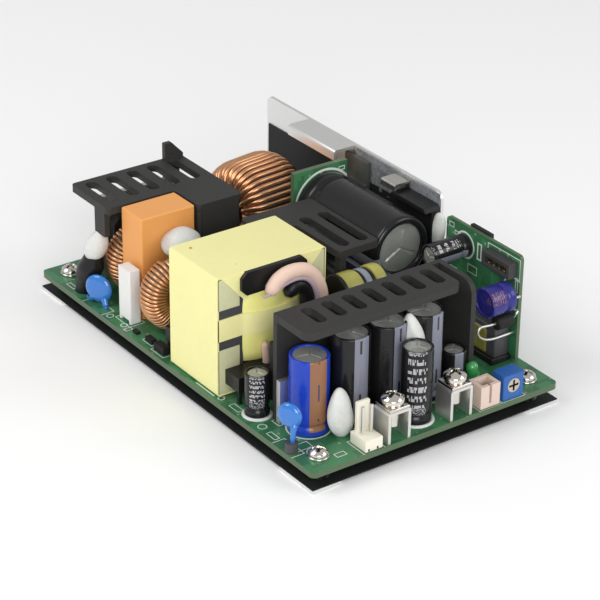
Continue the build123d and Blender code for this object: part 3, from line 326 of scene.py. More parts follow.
def cross_head(centre, radius, height, recess, angle):
    """A pan head with a cross recess.

    Over radius r and angle t the height is h (1 - 0.60 (r/R)^2.6), less a sink that is full within
    two crossing arms and fades out towards their sides and ends. The rim drops to the seat. Faces
    far down in the sink take the second material, a dark finish that paints the shade inside the
    recess.
    """
    rings, around = 26, 72
    r = np.linspace(0, 1, rings)[:, None]
    t = np.linspace(0, 2 * np.pi, around, endpoint=False)[None, :]
    x, y = r * np.cos(t - angle), r * np.sin(t - angle)
    across, along = np.minimum(abs(x), abs(y)), np.maximum(abs(x), abs(y))
    sink = smooth_step((0.17 - across) / 0.08) * smooth_step((0.70 - along) / 0.25)
    crown = height * (1 - 0.60 * r ** 2.6) - recess * sink
    top = np.stack([radius * r * np.cos(t), radius * r * np.sin(t), crown + 0 * t], -1)
    rim = top[-1:] * np.array([1, 1, 0])
    # Faces far down in the sink are marked for the dark finish that paints the recess's shade
    shade_painted_faces = np.vstack([np.zeros((1, around)), 0 * t, sink[:0:-1] > 0.45])
    return grid_shape(np.concatenate([top, rim, rim * 0])[::-1] + np.asarray(centre, float),
                      close_columns=True, material=shade_painted_faces.ravel())


def section_loop(depth, breadth, outer_corner, inner_corner, count=SECTION_STEPS):
    """Even steps round a rectangle with round corners, from the middle of its outer side: for each
    the place (outward, along) and the direction square to the outline. A corner is a quarter of an
    ellipse with its two radii, one for the outer side's corners and one for the bore's."""
    steps = 16  # in each corner
    arc = np.linspace(0, 2 * np.pi, 4 * steps + 1)
    quadrant = np.minimum(np.arange(4 * steps + 1) // steps, 3)
    sx, sy = np.array([1, -1, -1, 1])[quadrant], np.array([1, 1, -1, -1])[quadrant]
    bend = np.where((sx > 0)[:, None], outer_corner, inner_corner)
    places = np.stack([sx * (depth / 2 - bend[:, 0]) + bend[:, 0] * np.cos(arc),
                       sy * (breadth / 2 - bend[:, 1]) + bend[:, 1] * np.sin(arc)], -1)
    places = np.vstack([[depth / 2, 0], places, [depth / 2, 0]])
    walked = np.concatenate([[0], np.cumsum(np.linalg.norm(np.diff(places, axis=0), axis=1))])
    even = np.linspace(0, walked[-1], count)
    outward, along = np.interp(even, walked, places[:, 0]), np.interp(even, walked, places[:, 1])
    slope = unit(np.stack([np.gradient(outward), np.gradient(along)], -1))
    return outward, along, slope[:, 1], -slope[:, 0]


def wound_wire(centre, axis, start, outer, inner, width, wire, corners, first, step, turns, crowd):
    """Wire wound round a ring of rectangular section.

    The place s along the wire, counted in turns, sets the angle round the ring, first + step * s,
    and the place round the ring's section. Every second turn is lifted off the core towards the
    bore, where there is no room for all of them side by side.
    """
    axis, start = unit(axis), unit(start)
    other = np.cross(axis, start)
    depth, breadth = outer - inner + wire, width + wire
    s = np.arange(turns * WIRE_STEPS + 1) / WIRE_STEPS
    even = np.linspace(0, 1, SECTION_STEPS)
    outward, along, lift_out, lift_along = (np.interp(s % 1, even, part)
                                            for part in section_loop(depth, breadth, *corners))
    toward_bore = smooth_step((depth / 2 - outward) / depth)
    lift = crowd * wire * (np.floor(s) % 2) * toward_bore
    angle = (first + step * s)[:, None]
    radial = np.cos(angle) * start + np.sin(angle) * other
    reach = ((outer + inner) / 2 + outward + lift * lift_out)[:, None]
    path = np.asarray(centre, float) + reach * radial + (along + lift * lift_along)[:, None] * axis
    return tube(path, wire / 2, -np.sin(angle) * start + np.cos(angle) * other)


def new_object(name, data):
    """A new object in the scene."""
    thing = bpy.data.objects.new(name, data)
    bpy.context.scene.collection.objects.link(thing)
    return thing


def make_piece(name, shapes, finishes, stands_for=(), body=CHASSIS, sharp=40):
    """One mesh from several shapes, with seams and poles closed and its faces outward, riding on a
    body in place of the CAD nodes that it stands for."""
    starts = np.cumsum([0] + [len(shape[0]) for shape in shapes[:-1]])
    points = np.concatenate([shape[0] for shape in shapes])
    quads = np.concatenate([shape[1] + start for shape, start in zip(shapes, starts)])
    uv = np.concatenate([shape[2] for shape in shapes])
    index = np.concatenate([np.broadcast_to(shape[3], len(shape[1])) for shape in shapes])
    mesh = bpy.data.meshes.new(name)
    mesh.from_pydata(points.tolist(), [], quads.tolist())
    mesh.uv_layers.new(name=SURFACE).data.foreach_set("uv", uv.ravel())
    mesh.polygons.foreach_set("material_index", index.astype(np.int32))
    tidy_mesh(mesh)
    mesh.polygons.foreach_set("use_smooth", np.ones(len(mesh.polygons), bool))
    mesh.set_sharp_from_angle(angle=math.radians(sharp))
    piece = new_object(name, mesh)
    for material in finishes:
        mesh.materials.append(finish_of(material))
    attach(piece, body)
    if stands_for:
        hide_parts(*stands_for)
    return piece


def tidy_mesh(mesh):
    """Merge the doubles, drop faces without area and turn all faces outward."""
    work = bmesh.new()
    work.from_mesh(mesh)
    bmesh.ops.remove_doubles(work, verts=work.verts, dist=MERGE)
    bmesh.ops.dissolve_degenerate(work, edges=work.edges, dist=MERGE)
    bmesh.ops.recalc_face_normals(work, faces=work.faces)
    work.to_mesh(mesh)
    work.free()
    mesh.update()


def softened(node, material, edge, segments=2):
    """A copy of a CAD node with its flat faces joined and its edges rounded, in that node's place."""
    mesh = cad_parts[node].data.copy()
    mesh.name = node + "_soft"
    work = bmesh.new()
    work.from_mesh(mesh)
    bmesh.ops.remove_doubles(work, verts=work.verts, dist=2e-6)
    bmesh.ops.dissolve_limit(work, angle_limit=math.radians(0.6), verts=work.verts, edges=work.edges)
    bmesh.ops.recalc_face_normals(work, faces=work.faces)
    work.to_mesh(mesh)
    work.free()
    mesh.materials.clear()
    mesh.materials.append(finish_of(material))
    piece = new_object(node + "_soft", mesh)
    rounding = piece.modifiers.new("rounding", "BEVEL")
    rounding.width = edge
    rounding.segments = segments
    rounding.limit_method = "ANGLE"
    rounding.angle_limit = math.radians(35)
    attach(piece, CHASSIS)
    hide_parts(node)
    return piece


def dress(node, material):
    """Give a CAD node its finish."""
    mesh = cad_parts[node].data
    mesh.materials.clear()
    mesh.materials.append(finish_of(material))


def corners_of(node):
    """A node's lowest and highest corner as arrays, in metres."""
    low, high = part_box(node)
    return np.array(low), np.array(high)


def middle_of(node):
    """The middle of a node's box, in metres."""
    low, high = corners_of(node)
    return (low + high) / 2


# Materials


def new_node(tree, kind):
    """A new shader node of a kind."""
    return tree.nodes.new("ShaderNode" + kind)


def maths(tree, operation, first, second=0.0, third=0.0):
    """One sum on sockets or numbers, and its result."""
    node = new_node(tree, "Math")
    node.operation = operation
    for socket, value in zip(node.inputs, (first, second, third)):
        if isinstance(value, bpy.types.NodeSocket):
            tree.links.new(value, socket)
        else:
            socket.default_value = value
    return node.outputs[0]


def between(tree, value, low, high):
    """A mask that is 1 where the value lies between two limits."""
    over = maths(tree, "GREATER_THAN", value, low)
    under = maths(tree, "LESS_THAN", value, high)
    return maths(tree, "MULTIPLY", over, under)


def mix_colour(tree, mask, under, over):
    """The first colour where the mask is 0 and the second where it is 1."""
    node = new_node(tree, "Mix")
    node.data_type = "RGBA"
    for socket, value in ((node.inputs[0], mask), (node.inputs[6], under), (node.inputs[7], over)):
        if isinstance(value, bpy.types.NodeSocket):
            tree.links.new(value, socket)
        elif socket is node.inputs[0]:
            socket.default_value = value
        else:
            socket.default_value = (*value, 1.0)
    return node.outputs[2]


def set_inputs(node, values):
    """Give a node's inputs their values, by label."""
    for label, value in values.items():
        node.inputs[label].default_value = value


def join(tree, *pairs):
    """Link each pair of an output and an input."""
    for source, target in pairs:
        tree.links.new(source, target)


def node_group(name, inputs, outputs):
    """An empty shader group, with the sockets that it is given and the sockets of its result. All
    hold one number but Vector and Colour."""
    kinds = {"Vector": "NodeSocketVector", "Colour": "NodeSocketColor"}
    tree = bpy.data.node_groups.new(name, "ShaderNodeTree")
    for way, labels in (("INPUT", inputs), ("OUTPUT", outputs)):
        for label in labels:
            kind = kinds.get(label, "NodeSocketFloat")
            socket = tree.interface.new_socket(label, in_out=way, socket_type=kind)
            if way == "INPUT" and inputs[label] is not None:
                socket.default_value = inputs[label]
    return tree, tree.nodes.new("NodeGroupInput").outputs, tree.nodes.new("NodeGroupOutput").inputs


def mottled_surface():
    """Shared group: a colour varied by two noises, its roughness varied with it, and a fine relief."""
    if "mottled_surface" in bpy.data.node_groups:
        return bpy.data.node_groups["mottled_surface"]
    tree, given, result = node_group(
        "mottled_surface",
        {"Vector": None, "Colour": (0.5, 0.5, 0.5, 1.0), "Scale": 400.0, "Amount": 0.2, "Roughness": 0.5,
         "Spread": 0.1}, ("Colour", "Roughness", "Height"))
    broad, fine = (new_node(tree, "TexNoise") for _ in range(2))
    set_inputs(broad, {"Detail": 3.0})
    set_inputs(fine, {"Detail": 2.0})
    fine_scale = maths(tree, "MULTIPLY", given["Scale"], 9.0)
    swing = maths(tree, "SUBTRACT", maths(tree, "ADD", broad.outputs[0], fine.outputs[0]), 1.0)
    shade = maths(tree, "MULTIPLY_ADD", swing, given["Amount"], 1.0)
    scaled = new_node(tree, "VectorMath")
    scaled.operation = "SCALE"
    rough = maths(tree, "MULTIPLY_ADD", swing, given["Spread"], given["Roughness"])
    join(tree, (given["Vector"], broad.inputs["Vector"]), (given["Vector"], fine.inputs["Vector"]),
         (given["Scale"], broad.inputs["Scale"]), (fine_scale, fine.inputs["Scale"]),
         (given["Colour"], scaled.inputs[0]), (shade, scaled.inputs["Scale"]),
         (scaled.outputs[0], result["Colour"]), (rough, result["Roughness"]),
         (fine.outputs[0], result["Height"]))
    return tree


def mark_group(name, extent):
    """A new group for a printed line, with the line's middle and extent among its inputs, and the
    place's distance in X and in Y from that middle."""
    tree, given, result = node_group(name, {"Vector": None, "X": 0.0, "Y": 0.0, **extent, "Line": 0.0002},
                                     ("Mask",))
    parts = new_node(tree, "SeparateXYZ")
    tree.links.new(given["Vector"], parts.inputs[0])
    away = [maths(tree, "SUBTRACT", part, given[label]) for part, label in zip(parts.outputs, "XY")]
    return tree, given, result, away


def ring_mark():
    """Shared group: 1 on a printed ring of given middle, radius and line width, in X and Y."""
    if "ring_mark" in bpy.data.node_groups:
        return bpy.data.node_groups["ring_mark"]
    tree, given, result, (dx, dy) = mark_group("ring_mark", {"Radius": 0.005})
    square = maths(tree, "ADD", maths(tree, "MULTIPLY", dx, dx), maths(tree, "MULTIPLY", dy, dy))
    away = maths(tree, "ABSOLUTE", maths(tree, "SUBTRACT", maths(tree, "SQRT", square), given["Radius"]))
    tree.links.new(maths(tree, "LESS_THAN", away, given["Line"]), result["Mask"])
    return tree


def box_mark():
    """Shared group: 1 on a printed frame of given middle, half sizes and line width, in X and Y."""
    if "box_mark" in bpy.data.node_groups:
        return bpy.data.node_groups["box_mark"]
    tree, given, result, away = mark_group("box_mark", {"Half X": 0.005, "Half Y": 0.005})
    over = maths(tree, "MAXIMUM", *(maths(tree, "SUBTRACT", maths(tree, "ABSOLUTE", part), given[label])
                                    for part, label in zip(away, ("Half X", "Half Y"))))
    tree.links.new(maths(tree, "LESS_THAN", maths(tree, "ABSOLUTE", over), given["Line"]), result["Mask"])
    return tree


def new_finish(name, colour, roughness, metallic=0.0, coat=0.0, scale=400.0, amount=0.12, spread=0.12,
               relief=0.00002, stretch=(1.0, 1.0, 1.0), specular=0.5):
    """A material with its colour, roughness and relief from the mottled surface, on object
    coordinates stretched for a grain where one is given."""
    if name in bpy.data.materials:
        return bpy.data.materials[name]
    material = bpy.data.materials.new(name)
    material.use_nodes = True
    tree = material.node_tree
    shader = tree.nodes["Principled BSDF"]
    place, mapping, surface, bump = (new_node(tree, kind)
                                     for kind in ("TexCoord", "Mapping", "Group", "Bump"))
    surface.node_tree = mottled_surface()
    set_inputs(mapping, {"Scale": stretch})
    set_inputs(surface, {"Colour": (*colour, 1.0), "Scale": scale, "Amount": amount, "Roughness": roughness,
                         "Spread": spread})
    set_inputs(bump, {"Distance": relief, "Strength": 1.0})
    set_inputs(shader, {"Metallic": metallic, "Coat Weight": coat, "Coat Roughness": 0.12,
                        "Specular IOR Level": specular})
    join(tree, (place.outputs["Object"], mapping.inputs["Vector"]),
         (mapping.outputs[0], surface.inputs["Vector"]), (surface.outputs["Height"], bump.inputs["Height"]),
         (surface.outputs["Colour"], shader.inputs["Base Color"]),
         (surface.outputs["Roughness"], shader.inputs["Roughness"]),
         (bump.outputs[0], shader.inputs["Normal"]))
    return material


def print_over(material, mask, colour):
    """Lay a printed colour over what the material's base colour is so far."""
    tree = material.node_tree
    socket = tree.nodes["Principled BSDF"].inputs["Base Color"]
    under = socket.links[0].from_socket
    tree.links.new(mix_colour(tree, mask, under, colour), socket)


def coordinates(material, name="Object"):
    """The three parts of a material's object coordinates, or of its UV map."""
    tree = material.node_tree
    parts = new_node(tree, "SeparateXYZ")
    if name == "Object":
        source = new_node(tree, "TexCoord").outputs["Object"]
    else:
        node = new_node(tree, "UVMap")
        node.uv_map = SURFACE
        source = node.outputs[0]
    tree.links.new(source, parts.inputs[0])
    return parts.outputs


def printed_marks(material, rings, boxes, plane="XY"):
    """Mask of all rings (x, y, radius, line) and frames (x, y, half x, half y, line), in millimetres,
    printed in the XY plane, or in the XZ or YZ plane of an upright board."""
    tree = material.node_tree
    source = new_node(tree, "TexCoord").outputs["Object"]
    if plane != "XY":
        parts = new_node(tree, "SeparateXYZ")
        joined = new_node(tree, "CombineXYZ")
        tree.links.new(source, parts.inputs[0])
        for place, letter in enumerate(plane):
            tree.links.new(parts.outputs["XYZ".index(letter)], joined.inputs[place])
        source = joined.outputs[0]
    total = None
    for group, labels, marks in ((ring_mark(), ("X", "Y", "Radius", "Line"), rings),
                                 (box_mark(), ("X", "Y", "Half X", "Half Y", "Line"), boxes)):
        for mark in marks:
            node = new_node(tree, "Group")
            node.node_tree = group
            tree.links.new(source, node.inputs["Vector"])
            for label, value in zip(labels, mark):
                node.inputs[label].default_value = value * MM
            total = node.outputs[0] if total is None else maths(tree, "MAXIMUM", total, node.outputs[0])
    return total


def board_finish(name, rings, boxes, plane, edge_axis):
    """Green solder mask over copper areas, with vias, white print and a pale cut edge."""
    if name in bpy.data.materials:
        return bpy.data.materials[name]
    colours = bpy.context.scene.supply_colours
    copper_scale, copper_reach = 210, 0.42
    via_scale, via_reach, via_colour = 330, 0.13, (0.26, 0.30, 0.20)
    material = new_finish(name, tuple(colours.board), 0.34, scale=160, amount=0.20, spread=0.06,
                          relief=8e-6)
    tree = material.node_tree
    source = new_node(tree, "TexCoord").outputs["Object"]
    copper = new_node(tree, "TexVoronoi")
    copper.distance = "CHEBYCHEV"
    copper.feature = "F1"
    copper.inputs["Scale"].default_value = copper_scale
    tree.links.new(source, copper.inputs["Vector"])
    areas = maths(tree, "GREATER_THAN", copper.outputs["Distance"], copper_reach)
    dark = tuple(0.62 * part for part in colours.board)
    print_over(material, maths(tree, "MULTIPLY", areas, 0.8), dark)
    vias = new_node(tree, "TexVoronoi")
    vias.inputs["Scale"].default_value = via_scale
    tree.links.new(source, vias.inputs["Vector"])
    print_over(material, maths(tree, "LESS_THAN", vias.outputs["Distance"], via_reach), via_colour)
    print_over(material, printed_marks(material, rings, boxes, plane), tuple(colours.print_white))
    geometry = new_node(tree, "NewGeometry")
    normal = new_node(tree, "SeparateXYZ")
    tree.links.new(geometry.outputs["Normal"], normal.inputs[0])
    facing = maths(tree, "ABSOLUTE", normal.outputs["XYZ".index(edge_axis)])
    print_over(material, maths(tree, "LESS_THAN", facing, 0.5), tuple(colours.board_edge))
    return material


def sleeve_finish(name, colour, stripe, stripe_colour, marks, mark_colour):
    """A shrunk sleeve on its UV map, with u round the can and v along the profile.

    A stripe lies between two places round the can, in degrees. Marks (place in degrees, half width,
    rows, printed share of a row) are one dash a row, or with many rows small blocks switched on and
    off at random, too coarse to read.
    """
    material = new_finish(name, colour, 0.24, coat=0.14, scale=90, amount=0.25, spread=0.10, relief=6e-6,
                          specular=0.3)
    tree = material.node_tree
    printed, marked = (0.16, 0.90), (0.30, 0.84)  # the parts of v that carry the stripe and the marks
    block_rows, blocks_round, blocks_a_row, empty = 9, 90.0, 3.0, 0.42
    u, v, _ = coordinates(material, SURFACE)
    wall = between(tree, v, *printed)
    if stripe is not None:
        low, high = (edge * TURN % 1.0 for edge in stripe)
        if low < high:
            side = between(tree, u, low, high)
        else:
            side = maths(tree, "ADD", maths(tree, "GREATER_THAN", u, low),
                         maths(tree, "LESS_THAN", u, high))
        print_over(material, maths(tree, "MULTIPLY", side, wall), stripe_colour)
    if marks is not None:
        middle, width, rows, share = marks
        across = maths(tree, "ABSOLUTE", maths(tree, "SUBTRACT", u, middle * TURN % 1.0))
        column = maths(tree, "LESS_THAN", across, width)
        beat = maths(tree, "FRACT", maths(tree, "MULTIPLY", v, rows))
        dash = maths(tree, "LESS_THAN", beat, share)
        body = between(tree, v, *marked)
        mask = maths(tree, "MULTIPLY", maths(tree, "MULTIPLY", column, dash), body)
        if rows > block_rows:
            cells = new_node(tree, "CombineXYZ")
            for part, count, cell in ((u, blocks_round, 0), (v, rows * blocks_a_row, 1)):
                place = maths(tree, "FLOOR", maths(tree, "MULTIPLY", part, count))
                tree.links.new(place, cells.inputs[cell])
            chance = new_node(tree, "TexWhiteNoise")
            chance.noise_dimensions = "2D"
            tree.links.new(cells.outputs[0], chance.inputs["Vector"])
            mask = maths(tree, "MULTIPLY", mask, maths(tree, "GREATER_THAN", chance.outputs[0], empty))
        print_over(material, mask, mark_colour)
    return material


# Plain finishes: the colour, or None where the panel sets it, the roughness, and the settings that
# differ from those of new_finish
FINISHES = {
    "aluminium": (None, 0.5, dict(metallic=1.0, scale=260, amount=0.06, spread=0.22, relief=6e-6,
                                  stretch=(0.12, 1.0, 1.0))),
    "sheet": (None, 0.62, dict(scale=700, spread=0.10, relief=1e-5, specular=0.3)),
    "standoff": ((0.02, 0.02, 0.021), 0.45, dict(metallic=0.6, scale=900)),
    "cover": (None, 0.52, dict(scale=1300, amount=0.22, spread=0.14, relief=4e-5, specular=0.28)),
    "orange": (None, 0.42, dict(scale=500, amount=0.05, relief=1.2e-5)),
    "ceramic": (None, 0.72, dict(scale=1500, amount=0.06, relief=3e-5)),
    "copper": (None, 0.20, dict(metallic=0.9, coat=0.3, scale=500, amount=0.20, spread=0.12, relief=4e-6)),
    "ferrite": ((0.006, 0.006, 0.006), 0.6, dict(scale=1200, relief=2e-5, specular=0.05)),
    "core_green": ((0.05, 0.075, 0.04), 0.5, dict(scale=600, relief=2e-5)),
    "sleeve": (None, 0.40, dict(scale=700, relief=1.5e-5, specular=0.3)),
    "tape": (None, 0.42, dict(scale=70, amount=0.05, spread=0.10, relief=1.6e-5, specular=0.25)),
    "tape_backed": ((0.62, 0.62, 0.38), 0.34, dict(coat=0.12, scale=90, amount=0.14, relief=2e-5)),
    "tape_bright": (None, 0.32, dict(coat=0.15, scale=90, amount=0.10, relief=2e-5)),
    "silicone": (None, 0.42, dict(coat=0.1, scale=330, amount=0.22, relief=1.6e-4)),
    "lead_sleeve": (None, 0.5, dict(scale=500, amount=0.10, relief=2e-5)),
    "lilac": ((0.46, 0.36, 0.42), 0.45, dict(scale=500, amount=0.12)),
    "bobbin": ((0.011, 0.011, 0.011), 0.36, dict(scale=900, relief=1.5e-5, specular=0.3)),
    "package": ((0.016, 0.016, 0.016), 0.55, dict(scale=1400, relief=3e-5, specular=0.25)),
    # Painted shade: the near black inside the screws' cross recesses
    "recess": ((0.045, 0.040, 0.034), 0.45, dict(metallic=0.6, scale=900)),
    # Painted shade: the auxiliary transformer's tape, a darkened copy of the yellow tape
    "tape_shade": ((0.22, 0.19, 0.035), 0.4, dict(coat=0.2, scale=120, amount=0.4, relief=4e-5)),
    # Painted shade: the resonant inductor's tape, a dimmed copy of the yellow tape for the shade under the
    # middle cover
    "tape_dull": ((0.42, 0.40, 0.09), 0.36, dict(coat=0.15, scale=110, amount=0.25, relief=3e-5)),
    "stripe": ((0.26, 0.29, 0.34), 0.35, dict(coat=0.2, scale=200, amount=0.2)),
    "clear": ((0.20, 0.21, 0.22), 0.16, dict(coat=0.8, scale=170, amount=1.3, spread=0.25, relief=1.2e-4)),
    "film": ((0.075, 0.080, 0.070), 0.30, dict(coat=0.3, scale=120, amount=0.35, relief=2e-5)),
    "clip": ((0.60, 0.58, 0.54), 0.28, dict(metallic=1.0, scale=500, spread=0.2, stretch=(1.0, 0.15,
                                            1.0), relief=6e-6)),
    "tin": ((0.66, 0.65, 0.61), 0.30, dict(metallic=1.0, scale=420, amount=0.12, spread=0.22,
                                           relief=1e-5, stretch=(1.0, 1.0, 0.3))),
    "nickel": ((0.44, 0.37, 0.28), 0.19, dict(metallic=1.0, scale=700, amount=0.12, spread=0.16,
                                              relief=5e-6)),
    "gold": ((0.70, 0.55, 0.28), 0.25, dict(metallic=1.0, scale=900, relief=4e-6)),
    "ivory": (None, 0.46, dict(scale=600, amount=0.06)),
    "pink": (None, 0.46, dict(scale=600, amount=0.08)),
    "header_black": ((0.014, 0.014, 0.014), 0.42, dict(scale=900, relief=2e-5)),
    "trimmer": (None, 0.42, dict(scale=600, amount=0.10, relief=1.5e-5)),
    "rotor": ((0.66, 0.60, 0.50), 0.30, dict(metallic=1.0, scale=700, spread=0.2)),
    "disc": (None, 0.16, dict(coat=0.8, scale=220, amount=0.12, relief=1.2e-5)),
    "can_metal": ((0.50, 0.50, 0.47), 0.36, dict(metallic=0.65, scale=180, amount=0.20, spread=0.25,
                                                 relief=2.4e-5)),
}


def finish_of(name):
    """A finish by its name, made when it is first asked for. A material is passed on as it is."""
    if name not in FINISHES:
        return name
    colour, roughness, settings = FINISHES[name]
    if colour is None:
        colour = panel_colour(name)
    return new_finish(name, colour, roughness, **settings)


def panel_colour(name):
    """A colour of the panel by its name. A colour given as numbers is passed on as it is."""
    return tuple(getattr(bpy.context.scene.supply_colours, name)) if isinstance(name, str) else name


# Operators


def add_choke(pieces, nodes, centre, axis, start, sizes, runs, crowd, finish):
    """One winding and its ring core, from the sizes (outer, inner, width, wire, corners) and the
    runs of wire (first angle, degrees from turn to turn, turns). The core follows the winding's
    section, half a wire and a little inside it."""
    outer, inner, width, wire, corners = sizes
    shapes = [wound_wire(centre, axis, start, outer, inner, width, wire, corners, math.radians(first),
                         math.radians(step), turns, crowd) for first, step, turns in runs]
    make_piece(pieces[0], shapes, ["copper"], nodes[:1], sharp=80)
    inset = wire / 2 + 0.03 * MM
    outward, along, off_out, off_along = section_loop(outer - inner + wire, width + wire, *corners, 72)
    ring = np.stack([(outer + inner) / 2 + outward - inset * off_out, along - inset * off_along], -1)
    make_piece(pieces[1], [turned(ring, centre, axis, start, 96)], [finish], nodes[1:])


class SUPPLY_OT_chokes(bpy.types.Operator):
    """Two line chokes with two windings each, and the boost choke wound all round"""
    bl_idname = "supply.chokes"
    bl_label = "Ring chokes"

    def execute(self, context):
        sizes = context.scene.supply_windings
        board_top = corners_of("main_board")[1][2]
        bend = sizes.line_corner
        line = (sizes.line_core_outer, sizes.line_core_inner, sizes.line_core_width, sizes.line_wire,
                ((bend * 1.2, bend * 1.4), (bend * 0.8, bend)))
        turns, step = 20, 7.2
        first = -step * turns / 2
        for letter in "ab":
            nodes = ("line_choke_winding_" + letter, "line_choke_core_" + letter)
            middle = middle_of(nodes[1])
            middle[2] = board_top + sizes.line_core_outer + sizes.line_wire + sizes.seat
            add_choke(("line_choke_wire_" + letter, "line_choke_ring_" + letter), nodes, middle, X, Y, line,
                      ((first, step, turns), (180 + first, step, turns)), 0.0, "core_green")
        nodes = ("boost_choke_winding", "boost_choke_core")
        middle = middle_of(nodes[1])
        middle[2] = board_top + sizes.boost_core_outer + sizes.boost_wire + sizes.seat
        turn = math.radians(sizes.boost_turn)
        axis = (math.sin(turn), -math.cos(turn), 0)
        start = (math.cos(turn), math.sin(turn), 0)
        bend = sizes.boost_corner
        boost = (sizes.boost_core_outer, sizes.boost_core_inner, sizes.boost_core_width, sizes.boost_wire,
                 ((bend * 1.12, bend * 1.45), (bend * 0.6, bend * 0.7)))
        turns, gap = 46, 0.05  # the gap, in turns, keeps the wire's two ends apart
        add_choke(("boost_choke_wire", "boost_choke_ring"), nodes, middle, axis, start, boost,
                  ((0, 360 / (turns + gap), turns),), 0.75, "ferrite")
        return {"FINISHED"}


def can_shapes(foot, axis, start, radius, length, sizes, rays, groove_scale=1.0, lip_scale=1.0):
    """Sleeve and end disc of one can.

    The sleeve's radius is R less a crimp of depth d exp(-((h - g) / w)^2), turned over in a half
    ring at the lip. The disc is a polar grid, sunk where it lies near a scored ray, with a rim and
    a flat back that close it inside the sleeve.
    """
    groove, depth = sizes.groove_height * groove_scale, sizes.groove_depth * groove_scale
    lip, sink = sizes.lip * lip_scale, sizes.sink * lip_scale
    h = np.concatenate([np.linspace(0.3 * MM, 2 * groove, 22),
                        np.linspace(2 * groove, length - lip, 10)[1:]])
    wall = np.stack([radius - depth * np.exp(-((h - groove) / (0.55 * depth + 0.35 * MM)) ** 2), h], -1)
    t = np.linspace(0, np.pi, 13)
    roll = np.stack([radius - lip / 2 + lip / 2 * np.cos(t), length - lip / 2 + lip / 2 * np.sin(t)], -1)
    foot_edge = np.array([[0, 0], [radius - 0.6 * MM, 0], [radius - 0.15 * MM, 0.08 * MM]])
    under = np.array([[0, length - lip / 2 - sink]])
    sleeve = turned(np.vstack([foot_edge, wall, roll, under]), foot, axis, start, 56)
    disc_radius = radius - lip
    rings, around, line_width, ray_end = 26, 72, 0.24 * MM, 0.86
    r = np.concatenate([[0, 1], np.linspace(1, 0, rings)])[:, None]
    a = np.linspace(0, 2 * np.pi, around, endpoint=False)[None, :]
    x, y = r * np.cos(a), r * np.sin(a)
    score = np.zeros_like(x + y)
    for ray in rays:
        along = x * math.cos(ray) + y * math.sin(ray)
        across = abs(-x * math.sin(ray) + y * math.cos(ray)) * disc_radius
        faded = smooth_step((ray_end - r) * 12)
        score = np.maximum(score, smooth_step(1.4 - across / line_width) * (along > -0.05) * faded)
    rise = length - sink + 0.12 * MM * (1 - r ** 2) - sizes.score * lip_scale * score
    rise[:2] = length - sink - lip / 2 - 0.1 * MM
    axis_v, start_v = unit(axis), unit(start)
    side_v = np.cross(axis_v, start_v)
    points = (np.asarray(foot, float) + disc_radius * (x[..., None] * start_v + y[..., None] * side_v)
              + rise[..., None] * axis_v)
    disc = grid_shape(points, close_columns=True, material=1)
    return [sleeve, disc]


# Each can: the sleeve's colour, the stripe's two edges in degrees and its colour, the marks as
# sleeve_finish takes them and their colour. Colours are numbers or names of the panel.
PALE_MARK, DARK_MARK = (0.42, 0.42, 0.44), (0.03, 0.03, 0.04)
CANS = {
    "output_capacitor_blue": ("sleeve_blue", (-34, 20), "stripe_brown", (-8, 0.006, 7, 0.42),
                              (0.02, 0.03, 0.12)),
    "output_capacitor_1": ("sleeve", (-25, 24), "stripe_grey", (-6, 0.010, 6, 0.30), DARK_MARK),
    "output_capacitor_2": ("sleeve", (-16, 30), "stripe_grey", (4, 0.010, 6, 0.30), DARK_MARK),
    "output_capacitor_3": ("sleeve", (-12, 34), "stripe_grey", (8, 0.010, 6, 0.30), DARK_MARK),
    "output_capacitor_front": ("sleeve", None, "stripe_grey", (-34, 0.105, 30, 0.62), PALE_MARK),
    "output_capacitor_small": ("sleeve", (-33, 12), "stripe_grey", None, PALE_MARK),
    "start_capacitor": ("sleeve", None, "stripe_grey", (-36, 0.100, 24, 0.62), PALE_MARK),
    "bulk_capacitor_upper": ("sleeve", (6, 62), "stripe_grey", None, PALE_MARK),
    "bulk_capacitor_lower": ("sleeve", (-150, -100), "stripe_grey", None, PALE_MARK),
    "control_capacitor_grey": ("sleeve", (292, 4), "stripe_grey", (50, 0.06, 14, 0.5), PALE_MARK),
    "control_capacitor_violet": ("sleeve_violet", None, "stripe_brown", (34, 0.07, 16, 0.5),
                                 "stripe_brown"),
}


class SUPPLY_OT_cans(bpy.types.Operator):
    """Electrolytic capacitors: sleeve with crimp, stripe and rolled lip, and a scored end disc"""
    bl_idname = "supply.cans"
    bl_label = "Electrolytic capacitors"

    def execute(self, context):
        for node, (colour, stripe, stripe_colour, marks, mark_colour) in CANS.items():
            sleeve = sleeve_finish(node + "_sleeve", panel_colour(colour), stripe,
                                   panel_colour(stripe_colour), marks, panel_colour(mark_colour))
            slot = "sleeve_black" if colour == "sleeve" else colour
            finishes = [sleeve, "can_metal"]
            low, high = corners_of(node)
            foot = (low + high) / 2
            rays, scales, gap = (20, 140, 260), (1.0, 1.0), 0.0
            if node.startswith("bulk"):
                axis, start, along = X, (0, -1, 0), 0
                rays, scales = (148, 262, 30), (1.8, 2.9)
            elif node.startswith("control"):
                axis, start, along = (0, -1, 0), X, 1
                finishes.append("tin")
                if slot == "sleeve_violet":
                    gap, finishes[1] = 2.2 * MM, sleeve
            else:
                axis, start, along = Z, X, 2
            radius = (high[2] - low[2]) / 2 if along < 2 else (high[0] - low[0]) / 2
            foot[along] = high[1] - gap if along == 1 else low[along]
            shapes = can_shapes(foot, axis, start, radius, high[along] - low[along] - gap,
                                context.scene.supply_cans, [math.radians(ray) for ray in rays], *scales)
            for side in (-1, 1) if gap else ():
                places = (-0.2 * MM, gap / 2, gap + 0.1 * MM)
                lead = [foot + (side * radius / 2, place, 0) for place in places]
                shapes.append(tube(lead, 0.35 * MM, Z, material=2))
            make_piece(node + "_can", shapes, finishes, (node,))
        return {"FINISHED"}


